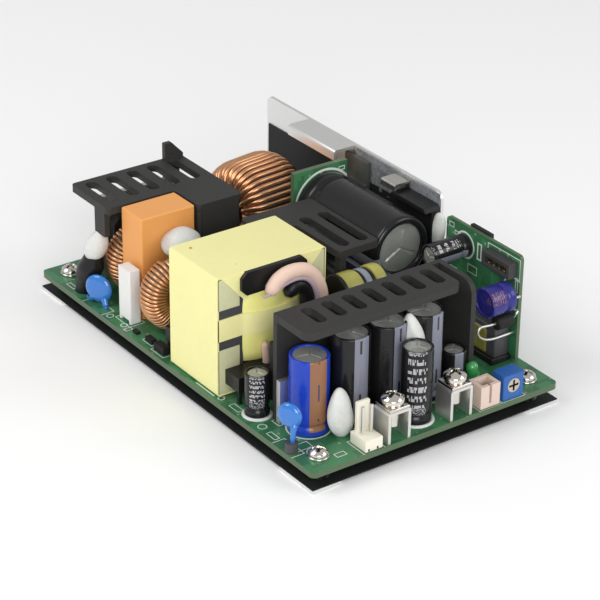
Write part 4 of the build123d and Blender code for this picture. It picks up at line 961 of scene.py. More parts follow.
class SUPPLY_OT_transformer(bpy.types.Operator):
    """Transformer: taped core, folded corners, belt, winding barrel, hood, rails and lead sleeves"""
    bl_idname = "supply.transformer"
    bl_label = "Transformer"
    window_share = 1.08
    fullness = 2.6

    def execute(self, context):
        sizes = context.scene.supply_tape
        low, high = corners_of("transformer_core_lower")
        high = np.array([high[0], high[1], corners_of("transformer_core_upper")[1][2]])
        self.add_band(sizes, low, high)
        self.add_winding()
        self.add_leads()
        for node in ("transformer_core_lower", "transformer_core_upper"):
            dress(node, "ferrite")
        softened("transformer_bobbin", "bobbin", 0.18 * MM)
        return {"FINISHED"}

    def add_band(self, sizes, low, high):
        """Band over both ends, top and foot, side flaps, belt and folded corners."""
        middle = (low + high) / 2
        half_y, half_z = (high[1] - low[1]) / 2, (high[2] - low[2]) / 2
        steps = 10  # in each corner
        arc = np.linspace(0, 2 * np.pi, 4 * steps + 1)[:-1]
        quadrant = np.arange(4 * steps) // steps
        sy, sz = np.array([1, -1, -1, 1])[quadrant], np.array([1, 1, -1, -1])[quadrant]

        def outline(grow):
            bend = sizes.edge if grow > 0 else sizes.edge * 0.4
            y = middle[1] + sy * (half_y + grow - bend) + bend * np.cos(arc)
            z = middle[2] + sz * (half_z + grow - bend) + bend * np.sin(arc)
            return np.stack([0 * arc, y, z], -1)

        reach = sizes.flap
        shapes = [band(outline(sizes.thickness), outline(0.0), low[0] - reach, high[0] + reach, X)]
        board_top = corners_of("main_board")[1][2]
        cuts = [board_top + cut * MM for cut in (13.1, 15.6, 21.6, 24.1)]
        flaps = ((low[2], cuts[0]), (cuts[3], high[2] + sizes.thickness * 0.6))
        top = high[2] + sizes.thickness * 0.8
        wide, narrow = sizes.fold + 1.2 * MM, sizes.fold - 0.2 * MM
        fold = ((0.6 * MM, top), (wide, top), (wide, top - sizes.fold), (narrow, top - sizes.fold))
        for face, sign in ((low[0], -1), (high[0], 1)):
            outside = face + sign * sizes.flap
            x = sorted((face, outside))
            for z0, z1 in flaps:
                for y0, y1 in ((low[1] - 0.3 * MM, low[1] + sizes.flap_width),
                               (high[1] - sizes.flap_width, high[1] + 0.3 * MM)):
                    shapes.append(soft_block((x[0], y0, z0), (x[1], y1, z1), 0.12 * MM, material=1))
            for end, inward in ((low[1], 1), (high[1], -1)):
                corners = [(outside, end + inward * y, z) for y, z in fold]
                shapes.append(plate(corners, 0.22 * MM, (sign, 0, 0)))
        shapes.append(self.belt(sizes, low, high, cuts[1:3]))
        tape = finish_of("tape")
        print_over(tape, printed_marks(tape, [(3.6, -32.8, 0.0, 0.45)], []), (0.62, 0.16, 0.04))
        print_over(tape, printed_marks(tape, [(17.2, -28.4, 0.0, 0.18)], []), (0.42, 0.38, 0.14))
        make_piece("transformer_tape", shapes, [tape, "tape_backed"], ("transformer_wrap",),
                   sharp=30)

    def belt(self, sizes, low, high, heights):
        """Belt round the winding: in plan the greater of the core's half width and the barrel's
        outline, B (1 - |y/C|^n)^(1/n), a tape's thickness outside it."""
        middle = (low + high) / 2
        half_x = (high[0] - low[0]) / 2 + sizes.flap
        half_y = (high[1] - low[1]) / 2 + 0.3 * MM
        barrel = (high[0] - low[0]) / 2 + 1.8 * MM
        n = self.fullness
        y = np.linspace(-half_y, half_y, 41)
        share = np.clip(abs(y) / (barrel * self.window_share), 0, 1)
        x = np.maximum(barrel * (1 - share ** n) ** (1 / n) + sizes.flap, half_x)
        side = np.stack([x, y, 0 * y], -1)
        ring = np.concatenate([side, side[::-1] * (-1, 1, 1)])
        about = (middle[0], middle[1], 0)
        return band(ring + about, ring * (0.9, 0.985, 1) + about, *heights, Z)

    def add_winding(self):
        """Barrel of bright tape, a little wider along the core's window than across it.

        In plan its reach at angle t is (|cos t|^n + |sin t|^n)^(-1/n), n being its fullness.
        """
        low, high = corners_of("transformer_winding")
        middle = (low + high) / 2
        radius, length = (high[0] - low[0]) / 2, high[2] - low[2]
        h = np.linspace(0, length, 18)
        swell = 1 - 0.06 * ((2 * h / length - 1) ** 8)
        profile = np.vstack([[0, 0], np.stack([radius * swell, h], -1), [0, length]])
        t = np.linspace(0, 2 * np.pi, 72, endpoint=False)
        n = self.fullness
        round_off = (abs(np.cos(t)) ** n + abs(np.sin(t)) ** n) ** (-1 / n)
        wide = self.window_share * radius
        rings = np.stack([radius * round_off * np.cos(t), wide * round_off * np.sin(t)], -1)
        points = np.empty((len(profile), len(t), 3))
        points[..., :2] = profile[:, :1, None] / radius * rings + middle[:2]
        points[..., 2] = low[2] + profile[:, 1:]
        make_piece("transformer_barrel", [grid_shape(points, close_columns=True)], ["tape_bright"],
                   ("transformer_winding",), sharp=50)

    def add_leads(self):
        """Two soft sleeves in one arch, the outer one copper-pink with a lilac edge and the inner one
        black beneath it, and a short drop. Each has its shift in X, its radius at both ends, its
        number of sides, its material and its places (y, z above the board), in millimetres."""
        board_top = corners_of("main_board")[1][2]
        x = middle_of("transformer_leads")[0]
        shapes = []
        for shift, radii, around, material, places in (
                (0.0, (1.9, 1.9), 20, 0,
                 ((-23.0, 28.0), (-21.4, 29.8), (-18.8, 30.9), (-15.8, 31.0), (-13.0, 30.2), (-10.8, 28.3),
                  (-9.2, 25.6), (-8.3, 22.3), (-8.0, 17.0), (-8.0, 12.0))),
                (-0.6, (1.9, 1.9), 16, 1,
                 ((-17.2, 25.6), (-15.9, 26.6), (-14.1, 26.3), (-12.6, 24.4), (-11.9, 21.0),
                  (-11.7, 15.0))),
                (0.9, (0.35, 0.8), 10, 2,
                 ((-26.0, 27.0), (-24.2, 27.2), (-22.2, 27.6), (-20.0, 28.6), (-18.0, 29.1), (-15.8, 29.2),
                  (-13.6, 28.5), (-11.9, 27.0), (-10.7, 24.8), (-10.0, 22.0), (-9.7, 17.0), (-9.7, 12.0))),
                (-0.8, (0.95, 0.95), 12, 0, ((-24.6, 12.5), (-24.2, 8.0), (-24.3, 3.0), (-24.6, 0.3)))):
            path = smooth_path([(x + shift * MM, y * MM, board_top + z * MM) for y, z in places])
            shapes.append(tube(path, np.linspace(*radii, len(path)) * MM, X, around, material=material))
        make_piece("transformer_sleeves", shapes, ["lead_sleeve", "sleeve", "lilac"],
                   ("transformer_leads",), sharp=60)


class SUPPLY_OT_inductors(bpy.types.Operator):
    """Resonant inductor and auxiliary transformer under their tape"""
    bl_idname = "supply.inductors"
    bl_label = "Taped inductors"

    def execute(self, context):
        low, high = corners_of("resonant_inductor")
        middle_x = (low[0] + high[0]) / 2
        radius = (high[0] - low[0]) / 2 - 0.2 * MM
        axis_height = high[2] - radius - 0.1 * MM
        length = high[1] - low[1]
        cheek = 1.2 * MM
        places = (cheek, 0.42 * length, 0.50 * length, 0.62 * length, 0.70 * length, length - cheek)
        girths = (1.0, 0.90, 0.95)  # of the tape, the bobbin and the strap
        shapes = []
        for start, end, material in zip(places, places[1:], (0, 1, 2, 1, 0)):
            swell = radius * girths[material] * (1 - 0.04 * np.linspace(-1, 1, 8) ** 4)
            profile = np.vstack([[0, start], np.stack([swell, np.linspace(start, end, 8)], -1), [0, end]])
            shapes.append(turned(profile, (middle_x, low[1], axis_height), Y, X, 40, material=material))
        shapes.append(soft_block((low[0] + 0.4 * MM, low[1] + cheek, low[2]),
                                 (high[0] - 0.4 * MM, high[1] - cheek, low[2] + 12.0 * MM), 0.8 * MM,
                                 material=1))
        for y, reach in ((low[1], radius + 0.15 * MM), (high[1] - cheek, radius - 0.9 * MM)):
            shapes.append(soft_block((low[0], y, low[2]), (high[0], y + cheek, axis_height), 0.35 * MM,
                                     material=1))
            shapes.append(turned(puck(reach, cheek, 0.3 * MM), (middle_x, y, axis_height), Y, X, 40,
                                 material=1))
        # Its bands take the dimmed tape, which paints the shade under the middle cover
        make_piece("resonant_inductor_taped", shapes, ["tape_dull", "bobbin", "stripe"],
                   ("resonant_inductor",))
        low, high = corners_of("auxiliary_transformer")
        # The wrap takes the darkened tape, which paints the shade that lies on it
        wrap = soft_block(low + np.array([0.6, 0.8, 1.6]) * MM, high - np.array([3.6, 0.1, 1.2]) * MM,
                          1.0 * MM, 4)
        foot = soft_block(low, (high[0], high[1], low[2] + 1.8 * MM), 0.3 * MM, material=1)
        core = soft_block(low + np.array([3.0, 1.2, 1.0]) * MM, high - np.array([0.6, 0.4, 0.0]) * MM,
                          0.5 * MM, material=2)
        make_piece("auxiliary_transformer_taped", [wrap, foot, core], ["tape_shade", "bobbin", "ferrite"],
                   ("auxiliary_transformer",))
        return {"FINISHED"}


class SUPPLY_OT_covers(bpy.types.Operator):
    """Perforated covers with eased edges, and the other moulded and pressed pieces"""
    bl_idname = "supply.covers"
    bl_label = "Covers and cases"

    def execute(self, context):
        for node in ("input_cover", "middle_cover", "output_cover"):
            softened(node, "cover", 0.35 * MM, 3)
        self.add_inner_wall()
        for node, finish, slot, edge, segments in (
                ("ceramic_resistor", "ceramic", "white_ceramic", 0.2, 2),
                ("film_capacitor", "orange", "film_orange", 0.12, 2),
                ("signal_header", "pink", "header_pink", 0.10, 2),
                ("control_header", "header_black", "header_black", 0.12, 2),
                ("power_transistor", "film", "epoxy_black", 0.15, 2),
                ("device_boot", "sleeve", "epoxy_black", 0.55, 3),
                ("bridge_rectifier", "package", "epoxy_black", 0.2, 2),
                ("output_rectifiers", "package", "epoxy_black", 0.2, 2)):
            softened(node, finish, edge * MM, segments)
        for node, finish in (("lead_bead", "ferrite"), ("chip_parts", "package"),
                             ("trimmer_body", "trimmer"), ("trimmer_rotor", "rotor")):
            dress(node, finish)
        # Painted shade: all of the rotor behind its front face, in its slot and round its sides, is laid
        # over with near black
        rotor = finish_of("rotor")
        face = corners_of("trimmer_rotor")[1][0] - 0.1 * MM
        slot = maths(rotor.node_tree, "LESS_THAN", coordinates(rotor)[0], face)
        print_over(rotor, slot, (0.05, 0.04, 0.03))
        return {"FINISHED"}

    def add_inner_wall(self):
        """Wall of the input cover behind the film capacitor, down from the cover's raised part."""
        high = corners_of("input_cover")[1]
        top = high[2] - 6.9 * MM
        wall = soft_block((high[0] - 11.4 * MM, high[1] - 14.0 * MM, top - 20.0 * MM),
                          (high[0] - 0.1 * MM, high[1] - 12.6 * MM, top), 0.3 * MM)
        make_piece("input_cover_inner_wall", [wall], ["cover"])


class SUPPLY_OT_metalwork(bpy.types.Operator):
    """Bracket, sheet, standoffs, heatsinks, clip and terminal brackets"""
    bl_idname = "supply.metalwork"
    bl_label = "Metalwork and sheet"

    def execute(self, context):
        softened("base_bracket", "aluminium", 0.42 * MM, 3)
        self.add_wall_film()
        for node, finish in (("insulating_sheet", "sheet"), ("board_standoffs", "standoff"),
                             ("input_heatsink", "aluminium"), ("output_heatsink", "aluminium"),
                             ("spring_clip", "clip"), ("terminal_brackets", "tin")):
            dress(node, finish)
        return {"FINISHED"}

    def add_wall_film(self):
        """Clear film on the wall behind the devices.

        Its face is the wall's face less 0.24 + 0.09 sin(1.1 x + 0.7 z) sin(0.5 x - 1.3 z), in
        millimetres; its back is flat.
        """
        x, z = np.meshgrid(np.linspace(-21.0, 15.2, 74), np.linspace(30.5, 39.6, 22), indexing="ij")
        wave = 0.24 + 0.09 * np.sin(1.1 * x + 0.7 * z) * np.sin(0.5 * x - 1.3 * z)
        wall_face = corners_of("base_bracket")[1][1] / MM - 1.0
        front, back = (np.stack([x, wall_face - depth, z], -1) * MM for depth in (wave, 0 * wave))
        strips = [np.stack([front[:, column], back[:, column]]) for column in (0, -1)]
        strips += [np.stack([front[row], back[row]]) for row in (0, -1)]
        make_piece("wall_film", [grid_shape(points) for points in (front, back, *strips)], ["clear"])


def mark_round(node, margin, line, plane=(0, 1)):
    """Middle, half sizes and line width of a printed frame a margin outside a node's box, seen along
    the direction that the plane leaves out, in millimetres."""
    low, high = corners_of(node) / np.array(MM)
    middles = [(low[k] + high[k]) / 2 for k in plane]
    return (*middles, *((high[k] - low[k]) / 2 + margin for k in plane), line)


def ring_round(node, margin, line, plane=(0, 1)):
    """Middle, radius and line width of a printed ring a margin outside a round node."""
    x, y, radius, _, line = mark_round(node, margin, line, plane)
    return x, y, radius, line


# Printed marks that belong to no piece of their own, in millimetres: rings (middle, radius, line width)
# and frames (middle, half sizes, line width)
MAIN_RINGS = [(56.0, -31.5, 2.4, 0.12), (39.0, -35.6, 1.1, 0.12), (22.0, -36.2, 0.8, 0.12),
              (-30.5, -36.3, 0.9, 0.12), (-24.0, -36.0, 0.9, 0.12)]
MAIN_BOXES = [(-12.5, -35.0, 2.2, 1.2, 0.10), (-6.3, -35.5, 2.9, 1.6, 0.10), (-21.5, -36.3, 0.7, 1.0, 0.10),
              (28.0, -35.8, 2.0, 0.8, 0.10), (52.0, -33.0, 1.4, 2.2, 0.10), (44.0, -35.9, 1.8, 0.7, 0.10),
              (-51.0, -35.9, 1.8, 0.6, 0.10), (16.0, -37.0, 4.0, 0.1, 0.10), (60.0, -27.5, 0.8, 1.4, 0.10)]
CAPACITOR_BOXES = [(30.3, 36.2, 0.9, 0.5, 0.12)]
CONTROL_BOXES = [(24.2, 32.3, 1.2, 0.5, 0.12), (33.0, 30.6, 0.7, 2.2, 0.22), (42.6, 31.8, 6.3, 2.9, 0.12),
                 (21.6, 34.0, 0.9, 0.6, 0.10), (47.9, 27.0, 0.4, 1.6, 0.14), (23.0, 21.5, 1.4, 0.8, 0.10),
                 (30.5, 24.5, 1.8, 1.1, 0.10), (35.5, 18.0, 1.1, 2.0, 0.10)]


class SUPPLY_OT_boards(bpy.types.Operator):
    """Main, capacitor and control board with their printed rings and frames"""
    bl_idname = "supply.boards"
    bl_label = "Circuit boards"

    def execute(self, context):
        rings = [ring_round(node, 0.5, 0.22) for node in CANS if node.startswith(("output", "start"))]
        boxes = [mark_round(node, margin, 0.11) for node, margin in (
            ("fan_header", 0.5), ("input_header", 0.6), ("signal_header", 0.4), ("trimmer_body", 0.4),
            ("ceramic_resistor", 0.7), ("disc_capacitor_front", 0.8), ("disc_capacitor_left", 0.8),
            ("output_heatsink", 0.8))]
        dress("main_board", board_finish("board_main", rings + MAIN_RINGS, boxes + MAIN_BOXES, "XY", "Z"))
        y, z = middle_of("bulk_capacitor_upper")[1:] / MM
        ring = (y, z, 9.55, 0.32)
        dress("capacitor_board", board_finish("board_capacitor", [ring], CAPACITOR_BOXES, "YZ", "X"))
        rings = [ring_round(node, 0.4, 0.25, (0, 2)) for node in CANS if node.startswith("control")]
        dress("control_board", board_finish("board_control", rings, CONTROL_BOXES, "XZ", "Y"))
        return {"FINISHED"}


class SUPPLY_OT_fasteners(bpy.types.Operator):
    """Board screws and terminal screws with cross recesses"""
    bl_idname = "supply.fasteners"
    bl_label = "Screws"

    def execute(self, context):
        sizes = context.scene.supply_fasteners
        low, high = corners_of("board_screws")
        board_top = corners_of("main_board")[1][2]
        washer, thick, shank = sizes.board_washer, sizes.board_washer_thickness, sizes.board_shank
        shapes = []
        for i, j, angle in ((0, 0, 0.35), (1, 0, 0.9), (0, 1, 0.1), (1, 1, 0.6)):
            x = (low[0] + sizes.board_seat, high[0] - sizes.board_seat)[i]
            y = (low[1] + sizes.board_seat, high[1] - sizes.board_seat)[j]
            profile = [(0, low[2] - board_top), (shank, low[2] - board_top), (shank, 0),
                       (washer - 0.1 * MM, 0), (washer, 0.1 * MM), (washer, thick - 0.15 * MM),
                       (washer - 0.15 * MM, thick), (0, thick)]
            shapes.append(turned(profile, (x, y, board_top), Z, X))
            shapes.append(cross_head((x, y, board_top + thick), sizes.board_head, sizes.board_head_height,
                                     sizes.recess, angle))
        # The second finish paints the shade inside the cross recesses
        make_piece("board_screws_cross", shapes, ["nickel", "recess"], ("board_screws",),
                   sharp=50)
        low, high = corners_of("terminal_screws")
        half, shank, thick = sizes.terminal_plate / 2, sizes.terminal_shank, sizes.terminal_washer_thickness
        x = middle_of("terminal_brackets")[0]
        seat = corners_of("terminal_brackets")[1][2]
        shapes = []
        for y, angle in ((low[1] + half, 0.5), (high[1] - half, 0.15)):
            profile = [(0, low[2] - seat), (shank, low[2] - seat), (shank, 0.1 * MM), (0, 0.1 * MM)]
            shapes.append(turned(profile, (x, y, seat), Z, X, 32))
            shapes.append(post(x, y, half, seat, seat + thick, 0.22 * MM))
            lock_washer = puck(sizes.terminal_lock_washer, thick, 0.15 * MM)
            shapes.append(turned(lock_washer, (x, y, seat + thick), Z, X, 40))
            shapes.append(cross_head((x, y, seat + 2 * thick), sizes.terminal_head,
                                     sizes.terminal_head_height, sizes.recess, angle))
        make_piece("terminal_screws_cross", shapes, ["nickel", "recess"], ("terminal_screws",),
                   sharp=50)
        return {"FINISHED"}


def disc_shapes(node, turn, shift, feet):
    """A dipped disc: half its thickness at radius r is T (1 - (r/R)^3.2)^0.5, and its coating runs
    down two legs that thin towards their feet. The disc is turned about its upright diameter."""
    low, high = corners_of(node)
    radius = (high[0] - low[0]) / 2
    middle = np.array([(low[0] + high[0]) / 2, (low[1] + high[1]) / 2, high[2] - radius]) + shift
    half = (high[1] - low[1]) / 2
    face = np.array([math.sin(turn), -math.cos(turn), 0])
    flat = np.array([math.cos(turn), math.sin(turn), 0])
    r = np.sin(np.linspace(0, np.pi / 2, 18))
    rise = half * np.sqrt(np.maximum(1 - r ** 3.2, 0))
    profile = np.concatenate([np.stack([r * radius, -rise], -1), np.stack([r * radius, rise], -1)[::-1]])
    shapes = [turned(profile, middle, face, flat, 56)]
    for side, foot in zip((-1, 1), feet):
        top = middle + flat * side * radius * 0.40 - np.array([0, 0, radius * 0.60])
        foot = np.array([*foot, (low[2] + 0.3 * MM) / MM]) * MM
        knee = middle * 0.45 + foot * 0.55 + flat * side * radius * 0.22
        knee[2] = middle[2] - radius * 1.12
        path = smooth_path([top, knee, foot], 8)
        shapes.append(tube(path, np.linspace(1.15, 0.40, len(path)) * MM, Y, 12))
    return shapes


class SUPPLY_OT_small_parts(bpy.types.Operator):
    """Dipped discs, fuse, diode, indicator, headers and pins"""
    bl_idname = "supply.small_parts"
    bl_label = "Small parts"

    def execute(self, context):
        for node, degrees, shift, feet in (
                ("disc_capacitor_left", 27, (-1.2, 1.2, -0.8), ((-43.2, -35.6), (-34.2, -35.2))),
                ("disc_capacitor_front", 24, (-0.4, 0.9, 0.0), ((50.2, -33.6), (52.4, -36.4)))):
            shapes = disc_shapes(node, math.radians(degrees), np.array(shift) * MM, feet)
            make_piece(node + "_dipped", shapes, ["disc"], (node,), sharp=70)
        self.add_fuse()
        self.add_control_parts()
        self.add_headers()
        self.add_indicator(context)
        return {"FINISHED"}

    def add_fuse(self):
        """A sleeve with soft folds on a leaning axis, its neck under silicone."""
        board_top = corners_of("main_board")[1][2]
        foot = np.array([-47.0 * MM, -34.5 * MM, board_top])
        head = np.array([-40.2 * MM, -33.0 * MM, board_top + 19.0 * MM])
        axis = unit(head - foot)
        length = np.linalg.norm(head - foot)
        sleeve_length = 14.5 * MM
        h = np.linspace(0, sleeve_length, 48)
        s = h / sleeve_length
        folds = 0.07 * MM * np.sin(h / (0.62 * MM)) * smooth_step(3 * s)
        r = (2.5 + 1.35 * np.sin(np.pi * s ** 1.2) ** 1.5 - 0.3 * s) * MM + folds
        profile = np.vstack([[0, -0.2 * MM], np.stack([r, h], -1), [1.6 * MM, 15.1 * MM], [0, 15.1 * MM]])
        sleeve = turned(profile, foot, axis, X, 40)
        collar = blob(foot + axis * 16.6 * MM, (3.1 * MM, 3.1 * MM, 5.0 * MM), 1.3, (1.5 * MM, 0.4 * MM),
                      0.12, material=1)
        neck = turned([(0, 0), (1.7 * MM, 0), (1.7 * MM, length - 0.3 * MM), (0, length)], foot, axis, X,
                      24)
        make_piece("line_fuse_sleeved", [sleeve, neck, collar], ["sleeve", "silicone"],
                   ("line_fuse",), sharp=60)

    def add_control_parts(self):
        """The diode with a looped lead at each end, and the pins of the control header."""
        low, high = corners_of("control_diode")
        x, z = (low[0] + high[0]) / 2, (low[2] + high[2]) / 2
        front, body_end = low[1], high[1] - 1.2 * MM
        body = puck((high[2] - low[2]) / 2, body_end - front, 0.25 * MM)
        shapes = [turned(body, (x, front, z), Y, X, 32)]
        board_face = corners_of("control_board")[0][1]
        loops = (((0.0, front / MM + 0.3, 0.0), (0.0, 27.6, 0.2), (-0.1, 24.9, 0.3), (-0.2, 24.3, -1.2),
                  (-0.3, 25.6, -3.0), (-0.3, 29.0, -4.3), (-0.3, board_face / MM, -4.4)),
                 ((0.0, body_end / MM - 0.2, 0.0), (0.4, body_end / MM + 0.6, 0.4),
                  (1.0, body_end / MM + 0.8, 1.6), (1.1, board_face / MM, 2.2)))
        for loop in loops:
            path = smooth_path([(x + dx * MM, y * MM, z + dz * MM) for dx, y, dz in loop])
            shapes.append(tube(path, 0.36 * MM, X, 10, material=1))
        make_piece("control_diode_leaded", shapes, ["package", "tin"], ("control_diode",))
        low, high = corners_of("control_header")
        x, _, z = (low + high) / 2
        half = 0.28 * MM
        pins = []
        for column in (-3, -1, 1, 3):
            for row in (-1, 1):
                px, pz = x + column * 1.0 * MM, z + row * 0.8 * MM
                pins.append(soft_block((px - half, low[1] + 0.5 * MM, pz - half),
                                       (px + half, high[1] - 0.9 * MM, pz + half), 0.1 * MM))
        make_piece("control_header_pins", pins, ["gold"])

    def add_headers(self):
        """Friction-lock headers: low body, locking tab and upright pins."""
        for node, count, tab_side in (("fan_header", 2, -1), ("input_header", 3, 1)):
            low, high = corners_of(node)
            body_top = low[2] + 3.2 * MM
            shapes = [soft_block(low, (high[0], high[1], body_top), 0.22 * MM)]
            tab = (low[0] + 0.7 * MM, low[0] + 1.8 * MM)
            if tab_side > 0:
                tab = (high[0] - 1.8 * MM, high[0] - 0.7 * MM)
            shapes.append(soft_block((tab[0], low[1] + 0.7 * MM, low[2] + 2.0 * MM),
                                     (tab[1], high[1] - 0.7 * MM, high[2]), 0.25 * MM))
            pitch = (high[1] - low[1]) / count
            x = (low[0] + high[0]) / 2
            for place in range(count):
                y = low[1] + pitch * (place + 0.5)
                shapes.append(post(x, y, 0.35 * MM, body_top - 0.5 * MM, high[2] - 0.6 * MM, 0.14 * MM, 1))
                # Painted shade: a thin near-black sheet on the body's +X face at its foot, beside each pin,
                # stands for the shade in a notch
                shapes.append(soft_block((high[0] - 0.06 * MM, y - 0.55 * MM, low[2] + 0.2 * MM),
                                         (high[0] + 0.01 * MM, y - 0.05 * MM, low[2] + 0.9 * MM), 0.02 * MM,
                                         material=2))
            make_piece(node + "_moulded", shapes, ["ivory", "tin", "package"], (node,))
        low, high = corners_of("signal_header")
        x, y, _ = (low + high) / 2
        pins = [post(x, y + side * MM, 0.38 * MM, low[2] + 1.0 * MM, high[2] - 1.0 * MM, 0.12 * MM)
                for side in (-1, 1)]
        make_piece("signal_header_pins", pins, ["gold"])

    def add_indicator(self, context):
        """A tinted lens, a collar, a straight wall and a half ball, that leans out past the cover's
        end wall on its two bent leads."""
        low, high = corners_of("status_led")
        middle = (low + high) / 2
        radius = 1.6 * MM
        t = np.linspace(0, np.pi / 2, 12)
        length = high[2] - low[2]
        wall_end = corners_of("output_cover")[1][0]
        base = np.array([wall_end + 1.2 * MM, middle[1] - 2.8 * MM, low[2] + 3.2 * MM])
        lean = unit([0.10, -0.25, 0.96])
        dome = np.stack([radius * np.cos(t), length - radius + radius * np.sin(t)], -1)
        collar = radius + 0.3 * MM
        profile = np.vstack([[0, 0], [collar, 0], [collar, 0.7 * MM], [radius, 0.8 * MM], dome])
        lens = new_finish("lens", tuple(context.scene.supply_colours.led), 0.12, coat=0.5, amount=0.05)
        set_inputs(lens.node_tree.nodes["Principled BSDF"], {"Transmission Weight": 0.25})
        shapes = [turned(profile, base, lean, X, 36)]
        for side in (-0.6, 0.6):
            path = smooth_path([(middle[0] + 0.6 * MM, middle[1] + side * MM, low[2] - 0.2 * MM),
                                (middle[0] + 2.2 * MM, middle[1] + (side - 0.2) * MM, low[2] + 1.3 * MM),
                                base + np.array([-0.3, 0.7 + side, -0.9]) * MM,
                                base + np.array([side, 0, 0.2]) * MM])
            shapes.append(tube(path, 0.26 * MM, Z, 10, material=1))
        make_piece("status_led_lens", shapes, [lens, "tin"], ("status_led",))


class SUPPLY_OT_silicone(bpy.types.Operator):
    """White silicone that holds tall parts to their neighbours"""
    bl_idname = "supply.silicone"
    bl_label = "Silicone"

    def execute(self, context):
        lumps = {
            "silicone_blue_can": ((52.7, -22.2, 12.2), (2.3, 3.4, 6.6), 0.4, (-0.5, -0.3), 0.22),
            "silicone_between_cans": ((50.8, 0.6, 26.2), (2.6, 2.8, 5.2), 1.9, (-0.6, -0.8), 0.30),
            "silicone_boot": ((16.3, 35.3, 29.2), (3.0, 1.3, 6.6), 2.7, (1.5, 0.0), -0.10),
            "silicone_line_choke": ((-20.4, -20.2, 27.3), (4.8, 5.2, 4.2), 3.3, (0.4, 0.0), 0.12),
        }
        for name, (centre, radii, seed, lean, taper) in lumps.items():
            shape = blob(np.array(centre) * MM, np.array(radii) * MM, seed, np.array(lean) * MM, taper)
            make_piece(name, [shape], ["silicone"], sharp=80)
        rings = []
        for node, grow in (("output_capacitor_front", 0.5), ("start_capacitor", 0.3)):
            low, high = corners_of(node)
            middle = (low + high) / 2
            radius = (high[0] - low[0]) / 2
            t = np.linspace(0, np.pi, 9)
            width = 0.5 * MM + grow * MM
            profile = np.stack([radius - 0.2 * MM + width * (1 - np.cos(t)) / 2, 0.5 * MM * np.sin(t)], -1)
            closed = np.vstack([profile[:1] * [0, 0], profile[::-1], [0, 0]])
            rings.append(turned(closed, (middle[0], middle[1], low[2]), Z, X, 48))
        make_piece("silicone_feet", rings, ["silicone"], sharp=80)
        return {"FINISHED"}


FLOOR_REACH = 3.0  # metres from the middle of the floor to its edge
CAMERA_PLACE = (0.435836, -0.311653, 0.29594)
SENSOR_WIDTH = 36.0
LAMP_TARGET = (0, 0, 0.02)
LAMPS = {"key": ((-0.30, -0.62, 0.72), 0.50), "front": ((0.78, -0.42, 0.40), 0.50),
         "fill": ((0.62, 0.55, 0.50), 0.45)}  # each lamp's place and width


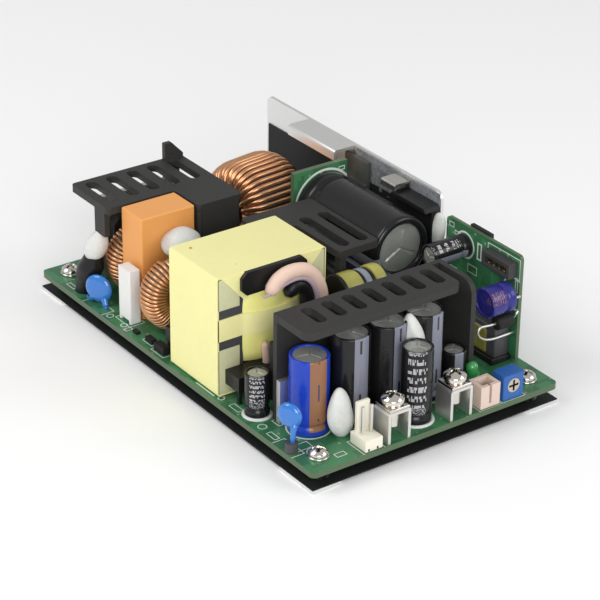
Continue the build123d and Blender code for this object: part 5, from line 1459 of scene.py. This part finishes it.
class SUPPLY_OT_stage(bpy.types.Operator):
    """Pale floor, soft lamps, sky and the camera at the photograph's angle"""
    bl_idname = "supply.stage"
    bl_label = "Stage"

    def execute(self, context):
        scene = context.scene
        stage = scene.supply_stage
        scene.view_settings.view_transform = "Standard"
        line = np.linspace(-FLOOR_REACH, FLOOR_REACH, 9)
        x, y = np.meshgrid(line, line)
        points, quads, _, _ = grid_shape(np.stack([x, y, 0 * x], -1))
        mesh = bpy.data.meshes.new("floor")
        mesh.from_pydata(points.tolist(), [], quads.tolist())
        floor = new_object("floor", mesh)
        mesh.materials.append(self.floor_finish(context))
        self.add_camera(stage, scene)
        for name, (place, width) in LAMPS.items():
            self.add_lamp(name, place, width, getattr(stage, name))
        self.add_sky(stage, scene)
        return {"FINISHED"}

    def floor_finish(self, context):
        """A matt pale floor without a shine."""
        material = bpy.data.materials.new("floor")
        material.use_nodes = True
        tree = material.node_tree
        set_inputs(tree.nodes["Principled BSDF"], {"Base Color": (*context.scene.supply_colours.floor, 1.0),
                                                   "Roughness": 0.9, "Specular IOR Level": 0.0})
        return material

    def add_camera(self, stage, scene):
        """Right, up and back of the camera from its angles; the place is where the fit of the
        photograph put it."""
        a, e, roll = (math.radians(v) for v in (stage.azimuth, stage.elevation, stage.roll))
        back = Vector((math.sin(a) * math.cos(e), -math.cos(a) * math.cos(e), math.sin(e)))
        right = Vector((math.cos(a), math.sin(a), 0))
        up = back.cross(right)
        tilted_right = math.cos(roll) * right + math.sin(roll) * up
        tilted_up = -math.sin(roll) * right + math.cos(roll) * up
        data = bpy.data.cameras.new("camera")
        data.lens = stage.lens
        data.sensor_width = SENSOR_WIDTH
        data.clip_start = 0.01
        camera = new_object("camera", data)
        turn = Matrix((tilted_right, tilted_up, back)).transposed()
        camera.matrix_world = Matrix.Translation(CAMERA_PLACE) @ turn.to_4x4()
        scene.camera = camera

    def add_lamp(self, name, place, width, power):
        """A square soft lamp that looks at the object."""
        data = bpy.data.lights.new(name, "AREA")
        data.size = width
        data.energy = power
        lamp = new_object(name, data)
        aim = Vector(LAMP_TARGET) - Vector(place)
        lamp.matrix_world = Matrix.Translation(place) @ aim.to_track_quat("-Z", "Y").to_matrix().to_4x4()

    def add_sky(self, stage, scene):
        """Even light from all round, and white where the camera, or glass, looks past the floor."""
        world = bpy.data.worlds.new("studio")
        scene.world = world
        world.use_nodes = True
        tree = world.node_tree
        even = tree.nodes["Background"]
        set_inputs(even, {"Color": (1.0, 1.0, 1.0, 1.0), "Strength": stage.sky})
        seen = new_node(tree, "Background")
        set_inputs(seen, {"Strength": 1.0})
        rays = new_node(tree, "LightPath")
        direct = maths(tree, "MAXIMUM", rays.outputs["Is Camera Ray"], rays.outputs["Is Transmission Ray"])
        mixed = new_node(tree, "MixShader")
        join(tree, (direct, mixed.inputs[0]), (even.outputs[0], mixed.inputs[1]),
             (seen.outputs[0], mixed.inputs[2]),
             (mixed.outputs[0], tree.nodes["World Output"].inputs["Surface"]))


OPERATORS = (SUPPLY_OT_metalwork, SUPPLY_OT_boards, SUPPLY_OT_covers, SUPPLY_OT_chokes, SUPPLY_OT_cans,
             SUPPLY_OT_transformer, SUPPLY_OT_inductors, SUPPLY_OT_fasteners, SUPPLY_OT_small_parts,
             SUPPLY_OT_silicone, SUPPLY_OT_stage)
SETTINGS = {"supply_windings": SupplyWindings, "supply_cans": SupplyCans,
            "supply_fasteners": SupplyFasteners, "supply_tape": SupplyTape,
            "supply_colours": SupplyColours, "supply_stage": SupplyStage}


class SUPPLY_PT_panel(bpy.types.Panel):
    """Lists the steps and their sizes"""
    bl_label = "Power Supply"
    bl_idname = "SUPPLY_PT_panel"
    bl_space_type = "VIEW_3D"
    bl_region_type = "UI"
    bl_category = "Power Supply"

    def draw(self, context):
        for operator in OPERATORS:
            self.layout.operator(operator.bl_idname)
        for name, group in SETTINGS.items():
            box = self.layout.box()
            box.label(text=group.__doc__)
            for key in group.__annotations__:
                box.prop(getattr(context.scene, name), key, text=key.replace("_", " ").capitalize())


def register():
    """Make the settings, operators and panel known."""
    for group in SETTINGS.values():
        bpy.utils.register_class(group)
    for name, group in SETTINGS.items():
        setattr(bpy.types.Scene, name, bpy.props.PointerProperty(type=group))
    for operator in OPERATORS:
        bpy.utils.register_class(operator)
    bpy.utils.register_class(SUPPLY_PT_panel)


def unregister():
    """Take them away again."""
    bpy.utils.unregister_class(SUPPLY_PT_panel)
    for operator in reversed(OPERATORS):
        bpy.utils.unregister_class(operator)
    for name in SETTINGS:
        delattr(bpy.types.Scene, name)
    for group in SETTINGS.values():
        bpy.utils.unregister_class(group)


def main():
    """Register and run every step in order."""
    register()
    for operator in OPERATORS:
        space, step = operator.bl_idname.split(".")
        getattr(getattr(bpy.ops, space), step)()


if __name__ == "__main__":
    main()
